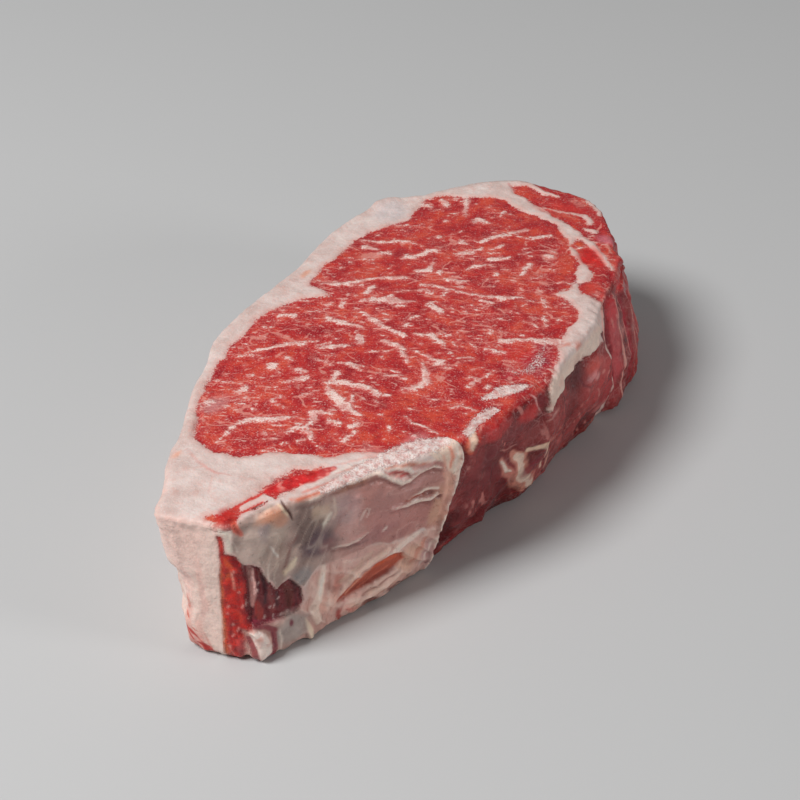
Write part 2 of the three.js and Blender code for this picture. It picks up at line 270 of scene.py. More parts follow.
def surface_grid():
    """The smooth form as rows of points, from the middle of the upper face to that of the lower one."""
    wall_z = np.linspace(TOP - EDGE, EDGE, WALL_ROWS)
    wall = smoothed(wall_reach(wall_z), WALL_BLUR)
    upper_centre = wall[:, 0] - EDGE
    lower_centre = wall[:, -1] - EDGE
    share = np.linspace(0, 1, UPPER_ROWS, endpoint=False)
    upper_along = SPINE_GAP + (upper_centre - SPINE_GAP)[:, None] * share
    upper_z = smoothed(upper_heights(upper_along), FACE_BLUR)
    turns = np.linspace(math.pi / 2, 0, EDGE_ROWS + 1)[:-1]
    upper_edge = smoothed(edge_reach(upper_centre, TOP - EDGE, turns), RIM_BLUR)
    low_turns = np.linspace(0, -math.pi / 2, EDGE_ROWS + 1)[1:]
    lower_edge = smoothed(edge_reach(lower_centre, EDGE, low_turns), RIM_BLUR)
    low_share = np.linspace(1, 0, LOWER_ROWS + 1)[1:]
    lower_along = SPINE_GAP + (lower_centre - SPINE_GAP)[:, None] * low_share
    parts = [
        in_plane(upper_along, upper_z),
        in_plane(
            upper_centre[:, None] + upper_edge * np.cos(turns),
            TOP - EDGE + upper_edge * np.sin(turns),
        ),
        in_plane(wall, np.tile(wall_z, (AROUND, 1))),
        in_plane(
            lower_centre[:, None] + lower_edge * np.cos(low_turns),
            np.maximum(EDGE + lower_edge * np.sin(low_turns), 0.0),
        ),
        in_plane(lower_along, np.zeros_like(lower_along)),
    ]
    return np.concatenate(parts, 1)


GRID = surface_grid()  # round the steak, row by row down it, x y z
ROWS = GRID.shape[1]
POINTS = GRID.transpose(1, 0, 2).reshape(-1, 3)
MIDDLE_ROW = UPPER_ROWS + EDGE_ROWS + WALL_ROWS // 2


def normals_of(points):
    grid = points.reshape(ROWS, AROUND, 3)
    around = np.roll(grid, -1, 1) - np.roll(grid, 1, 1)
    down = np.empty_like(grid)
    down[1:-1] = grid[2:] - grid[:-2]
    down[0] = grid[1] - grid[0]
    down[-1] = grid[-1] - grid[-2]
    normals = np.cross(down, around)
    normals /= np.linalg.norm(normals, axis=2, keepdims=True) + 1e-12
    return normals.reshape(-1, 3)


# Two ways to say where a point of the surface is.
# On the cut faces: the drawing of the upper face, followed down through the leaning muscles.
# On the wall: s, how far round from the tail tip, and h, the height, which goes on over the rims.

def drawn_place():
    down = 1 - POINTS[:, 2] / TOP
    x = POINTS[:, 0] - DRAWN_ORIGIN[0] - LEAN_OF_CUT[0] * down
    y = POINTS[:, 1] - DRAWN_ORIGIN[1] - LEAN_OF_CUT[1] * down
    return np.column_stack([x, y])


def wall_place():
    steps = np.linalg.norm(np.diff(GRID, axis=1), axis=2)
    travelled = np.concatenate([np.zeros((AROUND, 1)), np.cumsum(steps, 1)], 1)
    h = GRID[:, MIDDLE_ROW, 2][:, None] + travelled[:, MIDDLE_ROW][:, None] - travelled
    s = np.repeat(TRAVEL[:, None], ROWS, axis=1)
    return np.column_stack([s.T.reshape(-1), h.T.reshape(-1)])


DRAWN = drawn_place()
WALL = wall_place()
NORMALS = normals_of(POINTS)
WALLNESS = 1 - smoothstep(*STEEP, np.abs(NORMALS[:, 2]))
UPNESS = smoothstep(*STEEP, NORMALS[:, 2])
FIBRE_SQUEEZE = 0.22  # muscle fibres run up through the steak, so noise is stretched along them
FIBRES = POINTS * [1, 1, FIBRE_SQUEEZE]


def ragged(places, coarse, fine, seed):
    """Places on a face or the wall, moved about so that painted edges come out uneven."""
    moved = places.copy()
    for k in (0, 1):
        moved[:, k] += coarse * noise(POINTS, 6, seed + k) + fine * noise(POINTS, 1.9, seed + 7 + k)
    return moved


# Signed distances in mm, negative inside a shape

def near(places, points, margin):
    low, high = points.min(0) - margin, points.max(0) + margin
    return np.nonzero(((places >= low) & (places <= high)).all(1))[0]


def off_line(places, a, b):
    """How far places lie from the line from a to b, and how far along it that is, from 0 to 1."""
    line = b - a
    share = np.clip(((places - a) @ line) / (line @ line), 0, 1)
    return np.hypot(*(places - a - share[:, None] * line).T), share


def stroke(places, path, margin=4.0):
    """Distance to a line whose width changes on the way. path has x, y and the width at each point."""
    path = np.array(path, float)
    out = np.full(len(places), margin)
    if len(path) == 1:
        path = np.vstack([path, path + [0.01, 0, 0]])
    ids = near(places, path[:, :2], margin + path[:, 2].max())
    best = np.full(len(ids), margin)
    for a, b in zip(path[:-1], path[1:]):
        away, share = off_line(places[ids], a[:2], b[:2])
        best = np.minimum(best, away - (a[2] + share * (b[2] - a[2])) / 2)
    out[ids] = best
    return out


def area(places, corners, margin=6.0):
    """Distance to the edge of a polygon."""
    corners = np.array(corners, float)
    out = np.full(len(places), margin)
    ids = near(places, corners, margin)
    x, y = places[ids].T
    best = np.full(len(ids), 1e9)
    inside = np.zeros(len(ids), bool)
    for a, b in zip(corners, np.roll(corners, -1, 0)):
        best = np.minimum(best, off_line(places[ids], a, b)[0])
        crosses = (a[1] > y) != (b[1] > y)
        slope = (b[0] - a[0]) / (b[1] - a[1] if b[1] != a[1] else 1e-9)
        inside ^= crosses & (x < a[0] + slope * (y - a[1]))
    out[ids] = np.where(inside, -best, best)
    return out


def blob(places, x, y, half_x, half_y):
    """Distance to an oval, roughly."""
    off = np.hypot((places[:, 0] - x) / half_x, (places[:, 1] - y) / half_y)
    return (off - 1) * min(half_x, half_y)


def soft(distance, edge):
    """1 inside a shape and 0 outside it, with an edge that is soft by so much on both sides."""
    return smoothstep(edge, -edge, distance)


# Lean and fat

def lean_distance():
    """Negative on the muscles and positive on the fat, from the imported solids, with an uneven border."""
    moved = POINTS.copy()
    for k in range(3):
        moved[:, k] += 0.8 * noise(POINTS, 5, 11 + k) + 0.4 * noise(POINTS, 2, 21 + k)
    fat = tree_of(["fat_cap"])
    places = [Vector(p) for p in moved]
    to_fat = np.array([fat.find_nearest(p)[3] for p in places])
    best = np.full(len(POINTS), 1e9)
    for name in MUSCLES:
        tree = tree_of([name])
        best = np.minimum(best, np.array([tree.find_nearest(p)[3] for p in places]) - to_fat)
    return np.clip(best, -FAR, FAR)


# Veins of fat in the upper face, as x, y and width in the drawing
VEINS = [
    [
        (-66, 20.2, 0.6), (-61, 19.8, 1), (-56.4, 19, 1.6), (-53.8, 16.7, 2.2), (-51.5, 13.7, 2),
        (-48.8, 10.2, 1.8), (-46.5, 6.8, 0.8),
    ],
    [
        (-54.5, 6, 1), (-51, 4.1, 2.2), (-49.6, 2.2, 1.6), (-46.5, 2.2, 1.6), (-43.4, 4.1, 2.8),
        (-41.9, 1.4, 1.6), (-41.1, -0.9, 0.8),
    ],
    [(-56, 1.4, 0.8), (-53, -0.9, 1.4), (-51, 0.3, 1.2), (-51.5, 2.2, 1)],
    [
        (-31.2, 6.8, 1), (-33, 4.8, 2.6), (-34.6, 2, 3.8), (-36, -1.5, 4.2), (-37.2, -4.6, 2.4),
        (-38.1, -7.7, 1),
    ],
    [(-33.5, -2.9, 1.4), (-31, -1.2, 0.8)],
    [
        (-23.5, 8.3, 1.6), (-28.1, 7.2, 2), (-26.4, 4.5, 1.8), (-26.2, -1.6, 1.9), (-27.2, -7, 2.2),
        (-25.8, -9.7, 0.7),
    ],
    [(-44.2, -1.6, 1.6), (-44.2, -4.7, 1.6)],
    [(-43.4, -8.5, 2.4), (-41.1, -8.9, 1.4)],
    [(-50.5, -9.4, 1.2), (-45, -10.4, 1)],
    [(-18.6, 7.6, 2), (-19, 4.5, 1.2)],
    [(-4, 5.3, 1.8), (-4, -0.1, 1.6), (-6.7, -3.5, 1.2), (-9.8, -6.2, 0.8)],
    [(-21.6, -11.6, 1), (-20, -14, 2.6), (-15.1, -15.8, 2.2), (-10.5, -12, 1.5), (-8.2, -10, 0.7)],
    [(-3.6, -5.4, 0.8), (-4.4, -10.8, 1), (-5.2, -14.6, 2), (-8.2, -13.5, 0.8)],
    [(-18.6, -3.9, 1), (-16.7, -7.7, 0.8)],
    [(-15.1, 19, 0.9), (-13, 16, 2.6), (-10.5, 12.9, 1.4)],
    [(-7.5, 10.6, 2.4), (-5.2, 12.2, 1.8), (-3.6, 14.5, 0.9)],
    [(-26.6, 34.3, 1), (-22, 31.3, 1.2), (-18.6, 28.2, 1.7), (-16.3, 24.8, 2.2)],
    [(-29.7, 26.3, 3)],
    [(-44, 27.8, 2.4), (-41.8, 27.2, 2)],
    [(-36.2, 28.8, 1.6)],
    [(-24.7, 25, 1.6), (-24.7, 23.4, 1.2)],
    [(-1.6, 24.4, 2.2), (-1.4, 20.6, 1.8), (-0.6, 14.8, 1.3)],
    [(-7.5, 38.2, 1.4), (-5.6, 34.3, 1.8)],
    [(-32.2, 16.7, 1.8), (-29.7, 14.5, 2.2)],
    [(-34.5, 14.4, 1.4)],
    [(-43.4, 17.5, 1.5)],
    [(-49.6, 19.8, 1.4)],
    [(-27.8, 19, 1.9), (-27.4, 16.7, 1.4)],
    [(-33.5, -20.5, 0.7), (-33.2, -25, 1), (-33.5, -29.2, 0.7)],
    [(-10.5, -26.5, 0.9), (-6, -27.2, 1.1), (-0.6, -29.2, 0.6)],
    [(-6.6, -24.6, 0.8), (-6, -27.2, 0.9)],
    [(-7.5, -30.7, 1.3)],
    [(-53.2, 32.6, 1.6), (-51.4, 31.2, 1.2)],
    [(-20.5, 19, 0.6), (-21.6, 12, 0.8)],
    [(6.3, 18.7, 0.8), (4.4, 12.9, 2.3), (2.1, 6, 0.9), (1.3, 1.6, 2)],
    [(4, -1.2, 0.8), (5.5, -5.4, 2.4), (3.2, -10.8, 0.9)],
    [(10.9, 21.3, 1.4), (14, 16.7, 2.2), (15.5, 13.2, 3.6), (15.9, 9.1, 1)],
    [(15.1, 16, 1.8), (17.8, 15.2, 1.6)],
    [(17.6, -1.4, 2.2), (18.8, 1.2, 2.6)],
    [
        (14.3, 36.3, 1.4), (15.9, 32, 2), (18.5, 28.2, 2.2), (22.7, 25.2, 1.1), (25.8, 20.6, 1.4),
        (28.1, 16.7, 2),
    ],
    [
        (27.3, 9.9, 1.1), (29.3, 4.5, 1), (30, -2.4, 0.9), (31.5, -9.3, 1.1), (33.1, -13.9, 1.8),
        (36.1, -18.5, 1.5),
    ],
    [(15.4, 22.1, 2), (19.4, 22.1, 1.8)],
    [(38.8, 36.6, 2.6), (39.2, 33.6, 1.8)],
    [(41.5, 39.7, 0.9), (43.4, 33.6, 1.5), (46.5, 29, 1.8), (47.2, 25.2, 0.9)],
    [(37.7, 30.5, 2.2), (39.2, 28.2, 1.5)],
    [(38, 22.1, 1.8), (40.3, 19, 1.3), (44.9, 17.5, 2.2), (46.5, 15.2, 0.9)],
    [(33.1, 15.2, 1.8), (35, 12.2, 2.3), (39.6, 13.3, 0.9)],
    [(35.8, 9.1, 2.2)],
    [(54.1, 19, 2.2)],
    [(54.9, 11.4, 2.8)],
    [(64, 22.1, 1.7)],
    [(68.7, 13.7, 3.2), (69, 10.6, 1.9)],
    [(48.4, 9.1, 1.8), (51, 6, 1.4), (54.1, 4.5, 1.3)],
    [(58.3, 6.4, 2.1), (63.3, 3.7, 1.9), (67.9, -0.1, 1.4), (71.7, -2, 1.4)],
    [(41.9, 2.2, 1.4), (44.2, 1.8, 1.6), (47.2, -2.4, 0.9)],
    [(50.3, -0.9, 1.7), (54.1, -5.4, 1.3)],
    [(67.9, -6.2, 1.7), (72.5, -10, 1.4)],
    [(47.2, -13.1, 1.6), (50.5, -12.2, 1.2), (54.1, -12.3, 1.7)],
    [(61.8, -15, 2.6)],
    [(12.8, -23.8, 1.9), (16.6, -28.4, 1.3), (18.9, -33, 2), (20.8, -37.6, 3.4)],
    [(7.4, -22.3, 1.3), (8.6, -27.6, 1.2)],
    [(34.2, 5.3, 1.4), (35.8, -0.1, 1.2)],
    [(28.9, -8.5, 1.1), (29.3, -12.3, 0.9)],
    [(35.8, -26.9, 1), (38.8, -23.8, 1.1)],
    [(26.6, -31.5, 0.9), (30.4, -28.8, 0.9)],
    [(78.2, 22.4, 1.8), (74, 20.4, 1.2), (69.6, 18.6, 0.8)],
    [(74.5, 29.4, 2.2), (73, 26.4, 2)],
    [(70.6, 34.5, 1.8), (69.6, 30.5, 1.2)],
    [(78.6, 9.1, 1.1), (74.8, 8.3, 0.9)],
    [(43.4, -6.2, 1.4)],
    [(6.7, 10.2, 1.4)],
    [(7.4, 26, 1), (5.4, 24.6, 0.7)],
    [(24.3, 2.2, 0.8), (27.3, 2.2, 0.8)],
    [(20.6, 15.4, 0.7), (23.6, 9.8, 0.7), (24.6, 5.2, 0.6)],
]


def random_veins(count, seed):
    """Short thin veins and dots between the drawn ones. They lean over more towards the broad end."""
    rng = np.random.default_rng(seed)
    veins = []
    for _ in range(count):
        x = rng.uniform(-70, 80)
        y = rng.uniform(-38, 42)
        angle = math.radians(rng.normal(-75 + 35 * smoothstep(10, 50, x), 26))
        length = rng.uniform(0.2, 1) ** 2 * 5.5
        width = rng.uniform(0.3, 0.95)
        bend = rng.normal(0, 0.35)
        path = []
        for t in (-0.5, 0, 0.5):
            turned = angle + bend * t
            path.append((
                x + length * t * math.cos(turned),
                y + length * t * math.sin(turned),
                width * (1 - abs(t)),
            ))
        veins.append(path)
    return veins


def vein_distance():
    """Distance to the nearest vein of the cut faces, whose veins are more uneven on the lower one."""
    upper = ragged(DRAWN, 0.45, 0.35, 41)
    lower = ragged(DRAWN, 2.5, 0.5, 51)
    places = np.where((POINTS[:, 2] > TOP / 2)[:, None], upper, lower)
    best = np.full(len(POINTS), 4.0)
    for path in VEINS:
        best = np.minimum(best, stroke(places, path))
    for path in random_veins(VEIN_COUNT, VEIN_SEED):
        best = np.minimum(best, stroke(places, path) + 0.1)
    return best + 3 * WALLNESS


# What each point of the skin carries

def linear(srgb):
    """The light that a screen colour from 0 to 255 stands for."""
    value = np.array(srgb, float) / 255
    return np.where(value <= 0.04045, value / 12.92, ((value + 0.055) / 1.055) ** 2.4)


class Skin:
    """The tissue, colour, gloss, grain and relief of every point of the surface."""

    def __init__(self):
        count = len(POINTS)
        self.lean = lean_distance()
        self.vein = vein_distance()
        self.colour = np.zeros((count, 3))
        self.cover = np.zeros(count)  # how much of the base material the paint hides
        self.wet = np.zeros(count)  # 1 where the surface is smooth and glossy
        self.froth = np.zeros(count)  # 1 where cut fat stands up in pale grains
        self.rise = np.zeros(count)  # how far the relief stands out
        self.shift = np.zeros((count, 3))  # a move in one direction, for a corner whose normals spread

    def paint(self, share, srgb, light=1.0):
        """Covers with a colour. light is how much light falls there in the photo, against the upper face."""
        share = np.clip(share, 0, 1)
        colour = linear(srgb) / light
        colour = colour * min(1.0, BRIGHTEST / colour.max())
        self.colour = self.colour * (1 - share)[:, None] + colour * share[:, None]
        self.cover = 1 - (1 - self.cover) * (1 - share)

    def gloss(self, share):
        self.wet = np.maximum(self.wet, share)


skin = Skin()

# The light that falls on each part in the photo, against the upper face
SHADE = 0.62  # the front wall
MEMBRANE_LIGHT = 0.7
CREST_LIGHT = 0.75
RIM_LIGHT = 0.8
STREAK_LIGHT = 0.85
BAND_LIGHT = 0.9  # the red band in the tail's end, and the fat at the back

ROUGH_WALL = ragged(WALL, 0.8, 0.4, 61)
FINE_WALL = ragged(WALL, 0.3, 0.15, 71)
EDGE_WALL = ragged(WALL, 0.55, 0.4, 161)
LAST_STEP = 0.5  # from the last column on to the tail tip, about
FROM_TIP = np.minimum(WALL[:, 0], TRAVEL[-1] + LAST_STEP - WALL[:, 0])  # how far round, either way


def ovals(places, rows, light=1.0, within=1.0):
    """Soft oval patches: middle, half sizes, colour and share."""
    for x, y, half_x, half_y, colour, share in rows:
        shape = soft(blob(places, x, y, half_x, half_y), min(half_x, half_y) * OVAL_FADE)
        skin.paint(share * within * shape, colour, light)


def lines(places, rows, light=1.0, within=1.0, edge=0.4):
    """Strokes: share, colour and path."""
    for share, colour, path in rows:
        skin.paint(share * within * soft(stroke(places, path), edge), colour, light)


def glints(rows, share, colour, slant, widths):
    """Short pale strokes painted as glints of light, running up the wall: where each starts, and how long it
    is.
    """
    for x, y, length in rows:
        path = [(x, y, widths[0]), (x + slant, y + length, widths[1])]
        lines(FINE_WALL, [(share, colour, path)])


def nearest_stroke(places, paths):
    """Distance to the nearest of several strokes."""
    return np.minimum.reduce([stroke(places, path) for path in paths])


# The tail's cut end, in s and h like all that follows on the wall

RED_BAND = [
    (15.9, 42.5), (17.2, 42.2), (17.6, 36.5), (20.4, 35.4), (21.4, 33), (22.6, 28), (22.8, 24),
    (22.3, 20), (23, 17), (24, 12), (25.5, 0), (24, -6), (16.2, -6), (16.2, 11), (15.7, 17), (15.6, 24),
    (15.8, 29), (16.5, 33),
]
DARK_MUSCLE = [
    (22.2, 32.5), (24.7, 32.3), (26.6, 31), (27.6, 28.2), (29.7, 24.8), (31.8, 21.5), (33.7, 22.6),
    (35.9, 23), (39, 18.9), (39.7, 14.8), (37.6, 12.1), (34.6, 11.5), (29.4, 13), (24.7, 12.5),
    (23.4, 14), (22.6, 22),
]
TAIL_FLAP = [(24.2, 11, 2), (24.8, 7, 4.4), (25.2, 2, 3.6)]
END_LIP = [(0, 45.4, 0.8), (8, 45.2, 0.8), (15, 45, 0.8)]
END_PATCHES = [
    (6, 38, 6, 8, (224, 176, 164), 0.3),
    (10, 22, 1.2, 10, (222, 158, 148), 0.35),
    (5, 24, 2, 6, (220, 172, 164), 0.4),
    (7.4, 2.6, 4, 4.4, (200, 92, 82), 0.5),
    (5, 10, 1.8, 8, (212, 128, 116), 0.4),
    (9, 9, 1.4, 4, (216, 130, 116), 0.3),
]
END_CREASES = [
    (0.6, (206, 84, 66), [(4.8, 19, 0.2), (5.2, 16.8, 0.5), (5.2, 14.6, 0.3)]),
    (0.5, (206, 96, 80), [(10.4, 8, 0.3), (11.4, 5, 0.6), (12.4, 2, 0.4)]),
]
BLOOD_STAIN = [(4.4, 8.4, 1.2), (5.8, 6.2, 3.2), (8, 4.2, 4.4), (10.4, 2.2, 3.6), (12.4, 1, 1.4)]
BLOOD_FLECKS = [(4.8, 15, 0.8), (5.4, 12, 2.2), (7, 9.6, 3), (8.8, 8.8, 1.4)]
BAND_STREAKS = [
    (0.6, (208, 112, 70), [(16.5, 33, 0.6), (15.9, 26, 0.7), (16, 14, 0.9), (16.6, 2, 1.2)]),
    (0.75, (204, 84, 48), [(17.6, 35, 1), (18.6, 31.5, 1.8), (17.6, 28, 1)]),
    (0.55, (204, 42, 30), [(18, 27.4, 2), (18.6, 21, 2.6), (19.4, 15, 2.2)]),
    (0.7, (104, 14, 20), [(20.2, 34.6, 1.4), (21, 30, 2), (21.4, 26, 1.4)]),
    (0.75, (84, 12, 24), [(21.8, 33.5, 1), (22.4, 28, 0.9), (22.2, 22, 0.8)]),
    (0.8, (82, 14, 28), [(22.6, 19, 1.4), (23.4, 14.5, 1.6)]),
    (0.7, (228, 150, 130), [(18.7, 30.6, 0.5), (19.2, 27.6, 0.6), (19.4, 24.4, 0.4)]),
    (0.5, (206, 120, 104), [(17.2, 8, 0.6), (18.2, 2, 0.8)]),
    (0.6, (178, 84, 84), [(20.5, 7.5, 2.4), (21.5, 3, 3.4), (22, -1, 3.4)]),
    (0.6, (140, 36, 46), [(23.4, 12, 0.9), (23.4, 7, 0.8), (24.2, 1, 0.7)]),
]
BAND_GLINTS = [  # painted glints of light: place and length
    (17.4, 18.4, 0.6), (16.9, 16, 0.3), (21.3, 18.8, 0.9), (18.5, 12.4, 0.5), (19.8, 10.6, 1.2),
    (21.3, 10.4, 0.6), (19, 29.4, 1.3), (22.9, 15.2, 0.4), (20.2, 23.4, 0.3), (18.4, 8.6, 0.8),
    (22, 9, 0.3), (17.4, 5, 0.5),
]
DARK_STREAKS = [
    # the first two are the pale column: part pale bundle and part painted sheen, with a painted highlight
    # down its middle
    (0.85, (150, 104, 98), [(23.8, 31.8, 1.6), (24.2, 27, 2.2), (24.5, 22.5, 2.2), (24, 19.5, 1.2)]),
    (0.8, (196, 156, 148), [(24.8, 31, 0.4), (25.1, 26.6, 0.6), (24.8, 23, 0.5)]),
    (0.6, (122, 62, 58), [(26.6, 30, 0.8), (27, 26, 0.8)]),
    (0.8, (134, 44, 38), [(25.6, 20, 1.6), (26.2, 16.6, 3), (26.8, 14, 1.8)]),
    (0.8, (44, 12, 20), [(27.6, 29, 0.8), (28.4, 24, 1.4), (28.2, 19, 1)]),
    (0.7, (116, 52, 50), [(29.8, 23.6, 1), (30.4, 18.6, 1.8), (30.8, 15, 1.4)]),
    (0.7, (44, 12, 18), [(32.2, 20.5, 0.9), (32.4, 16, 1)]),
    (0.7, (84, 36, 30), [(34.6, 21.6, 1.4), (36, 18.6, 2.6), (36, 14.6, 1.8)]),
    (0.7, (48, 16, 22), [(33, 22.6, 0.6), (36, 23.2, 0.7), (38.9, 19, 0.7), (39.2, 15.4, 0.6)]),
    (0.85, (112, 34, 48), [
        (24, 14, 1.6), (27.4, 12.9, 1.8), (31, 12, 1.8), (34.6, 11.3, 1.4), (37.8, 13, 0.9),
    ]),
    (0.85, (96, 28, 42), [(29.6, 11.5, 1), (29.9, 7, 0.8), (29.4, 2, 0.7)]),
]
# painted glints of light on the dark muscle: place and length
DARK_GLINTS = [
    (25.3, 23.4, 1), (31, 16.2, 0.5), (29.4, 17.2, 0.3), (30.2, 12.9, 0.7), (33, 12.3, 0.3),
    (27.6, 13.8, 0.8), (35, 12.2, 0.5), (24.2, 27, 1.2), (32.4, 18.2, 0.4), (26, 26, 0.3),
]
CORNER_SINK = 1.7  # how far the tail's back corner is drawn in below its middle
CORNER_REACH = 12  # and how far round on both sides
CORNER_FADES = [(9, 16), (29.5, 24)]  # heights over which it comes in, from below and from above
TAIL_WALL = (87, 44)  # how far round and how high the tail's own lean may reach


def sink_tail_corner():
    """Draws the tail's back corner in, in one direction, so that its outline is the photo's."""
    h = WALL[:, 1]
    corner = np.exp(-((FROM_TIP / CORNER_REACH) ** 2))
    for low, high in CORNER_FADES:
        corner = corner * smoothstep(low, high, h)
    outward = NORMALS[corner > 0.9].mean(0)
    outward /= np.linalg.norm(outward)
    skin.shift -= (corner * (CORNER_SINK + 0.35 * noise(POINTS, 2.6, 159)))[:, None] * outward


def end_fat():
    """The pale fat of the tail's end, a painted highlight on the corner by the tip, its pink patches and the
    blood stain by the floor.
    """
    s, h = WALL.T
    here = np.exp(-np.maximum(FROM_TIP - 15, 0) / 3) * smoothstep(47, 43, h)
    skin.paint(0.82 * here, (223, 194, 182), RIM_LIGHT)
    # lighter still by the tip and higher up: a painted highlight on the rounded corner
    by_tip = 0.6 * here * np.exp(-((FROM_TIP / 7) ** 2)) * smoothstep(20, 34, h)
    skin.paint(by_tip, (236, 208, 200), CREST_LIGHT)
    ovals(ROUGH_WALL, END_PATCHES)
    lines(FINE_WALL, END_CREASES)
    stain = soft(stroke(ROUGH_WALL, BLOOD_STAIN), 0.4)
    flecks = soft(stroke(ROUGH_WALL, BLOOD_FLECKS), 0.4)
    streaks = noise(np.column_stack([s + h, 0.4 * h]), 1.0, 162)
    skin.paint(0.75 * flecks * smoothstep(0.0, 0.35, streaks), (212, 92, 70))
    skin.paint(0.92 * stain * smoothstep(-0.6, -0.1, streaks), (196, 46, 40))
    skin.paint(0.6 * stain * smoothstep(0.2, 0.6, streaks), (150, 20, 24))


def red_band(band, strands):
    """The strip of lean in the tail's end, with its streaks and painted glints of light."""
    here = soft(band, 0.35)
    skin.paint(0.96 * here, (168, 32, 28), BAND_LIGHT)
    skin.paint(0.6 * here * smoothstep(0.1, 0.6, strands), (118, 16, 20), BAND_LIGHT)
    skin.paint(0.5 * here * smoothstep(-0.2, -0.7, strands), (206, 66, 46), BAND_LIGHT)
    lines(FINE_WALL, BAND_STREAKS, STREAK_LIGHT)
    skin.paint(0.5 * here * smoothstep(0.15, 0.6, noise(POINTS, 2.2, 157)), (222, 54, 42), BAND_LIGHT)
    skin.paint(0.5 * here * smoothstep(0.1, 0.5, noise(POINTS, 1.7, 158)), (128, 16, 24), BAND_LIGHT)
    # pale strokes painted as glints of light
    glints(BAND_GLINTS, 0.8, (238, 180, 168), 0.5, (0.1, 0.32))


def dark_muscle(dark, strands):
    """The dark purple muscle behind the band, below the membrane, with painted glints of light."""
    here = soft(dark, 0.4)
    skin.paint(0.97 * here, (92, 30, 34), SHADE)
    skin.paint(0.55 * here * smoothstep(0.1, 0.6, strands), (50, 14, 22), SHADE)
    lines(FINE_WALL, DARK_STREAKS, SHADE)
    # pale strokes painted as glints of light
    glints(DARK_GLINTS, 0.85, (232, 198, 192), 0.4, (0.2, 0.45))


def tail_end():
    """The cut end of the tail: fat with a blood stain, the red band and the dark muscle behind it."""
    s, h = WALL.T
    band = area(FINE_WALL, RED_BAND)
    dark = area(FINE_WALL, DARK_MUSCLE)
    flap = stroke(ROUGH_WALL, TAIL_FLAP)
    lean = np.maximum(np.minimum(band, dark), -flap)
    skin.lean = np.where((s < TAIL_WALL[0]) & (h < TAIL_WALL[1]), lean, skin.lean)
    sink_tail_corner()
    end_fat()
    strands = noise(FIBRES, 1.1, 150)
    red_band(band, strands)
    dark_muscle(dark, strands)
    lip = stroke(FINE_WALL, END_LIP)
    skin.rise += 0.35 * soft(lip, 0.9)
    skin.paint(0.5 * soft(lip, 0.6), (228, 184, 172))
    skin.rise += soft(dark, 0.5) * (-1.1 + 0.5 * ridged(FIBRES, 3.0, 96) + 0.25 * noise(POINTS, 1.5, 97))
    skin.rise += soft(band, 0.5) * (-0.45 + 0.35 * noise(FIBRES, 2.2, 98) + 0.15 * noise(POINTS, 1.3, 90))
    skin.rise += 0.5 * soft(flap, 0.8)
    skin.gloss(soft(np.minimum(band, dark), 0.6))


# The scrap of fat at the foot of the dark muscle

SCRAP = [(23, 11), (25.6, 11), (27.4, 9.2), (28.6, 5), (28.6, 2.4), (26, 0.4), (24.8, 4.2), (23.6, 8)]
SCRAP_STREAKS = [
    (0.9, (122, 44, 54), [
        (24.4, 12.6, 1.2), (27.6, 11.4, 1.6), (30, 9.4, 2), (30, 5, 2), (29, 1.4, 2.6),
    ]),
    (0.85, (134, 50, 56), [(22.6, 8.6, 1.4), (24, 4, 2), (24.8, 0.4, 2.6), (29, -1, 2.4)]),
    (0.7, (206, 188, 176), [(31.8, 9, 0.4), (32.4, 5, 0.8), (31.8, 1.6, 0.6)]),
    (0.7, (88, 22, 36), [(29.6, 8.4, 0.6), (29.8, 4.4, 0.6)]),
]


def scrap_of_fat():
    """The white scrap at the foot of the dark muscle, with the stains round it."""
    ovals(ROUGH_WALL, [(35.4, 6.6, 4.6, 4.4, (146, 132, 126), 0.85)], MEMBRANE_LIGHT)
    ovals(FINE_WALL, [(35.4, 9.4, 0.7, 1.0, (98, 28, 44), 0.9)], MEMBRANE_LIGHT)
    lines(FINE_WALL, SCRAP_STREAKS, CREST_LIGHT)
    scrap = area(FINE_WALL, SCRAP)
    here = soft(scrap, 0.3)
    skin.paint(0.97 * here, (222, 202, 192), RIM_LIGHT)
    skin.paint(0.35 * here * smoothstep(0.1, 0.5, noise(POINTS, 2.0, 153)), (204, 150, 140), RIM_LIGHT)
    ovals(FINE_WALL, [(25.4, 8.8, 0.7, 0.9, (226, 150, 132), 0.5)], MEMBRANE_LIGHT)
    skin.rise += 0.5 * soft(scrap, 0.7)


# The membrane over the tail's front wall, and the fat that lies under it

MEMBRANE = [
    (19.2, 45), (19.6, 38), (20.8, 35.6), (22.2, 33), (24.7, 32.8), (26.8, 31.4), (27.9, 28.6),
    (30, 25.2), (31.9, 22.2), (33.7, 23.2), (36, 23.6), (39.4, 19.4), (42, 21.5), (45, 23), (52, 23.5),
    (58, 24), (64, 23.5), (68, 22), (75, 20.5), (82, 19), (85.2, 16), (86, 21.7), (86.2, 26.5),
    (87.6, 29), (88.6, 32.5), (89.4, 36.5), (90.7, 40.5), (90.1, 43.6), (88, 46), (83, 44), (80.6, 42.2),
    (75.8, 41.2), (71, 40.2), (66.7, 43.6), (63, 46), (55, 46), (44, 45.4), (37.6, 46.4), (31, 48),
    (26, 47.5),
]
FREE_EDGE = [  # where the membrane ends, as s and h
    (83.8, 0), (84.8, 6), (85.5, 15), (86, 21.7), (86.2, 26.5), (87.6, 29), (88.6, 32.5), (89.4, 36.5),
    (90.7, 40.5), (90.1, 43.6), (88.6, 47),
]
LOWER_FAT = [
    (22, 10.5), (29.4, 12), (37, 11), (40.4, 14), (40, 19), (43, 22), (52, 23.5), (58, 24), (64, 23.5),
    (70, 21.4), (75, 20.5), (82, 19), (86.6, 16), (86.6, 6), (84.5, 0), (87.5, -8), (22, -8),
]
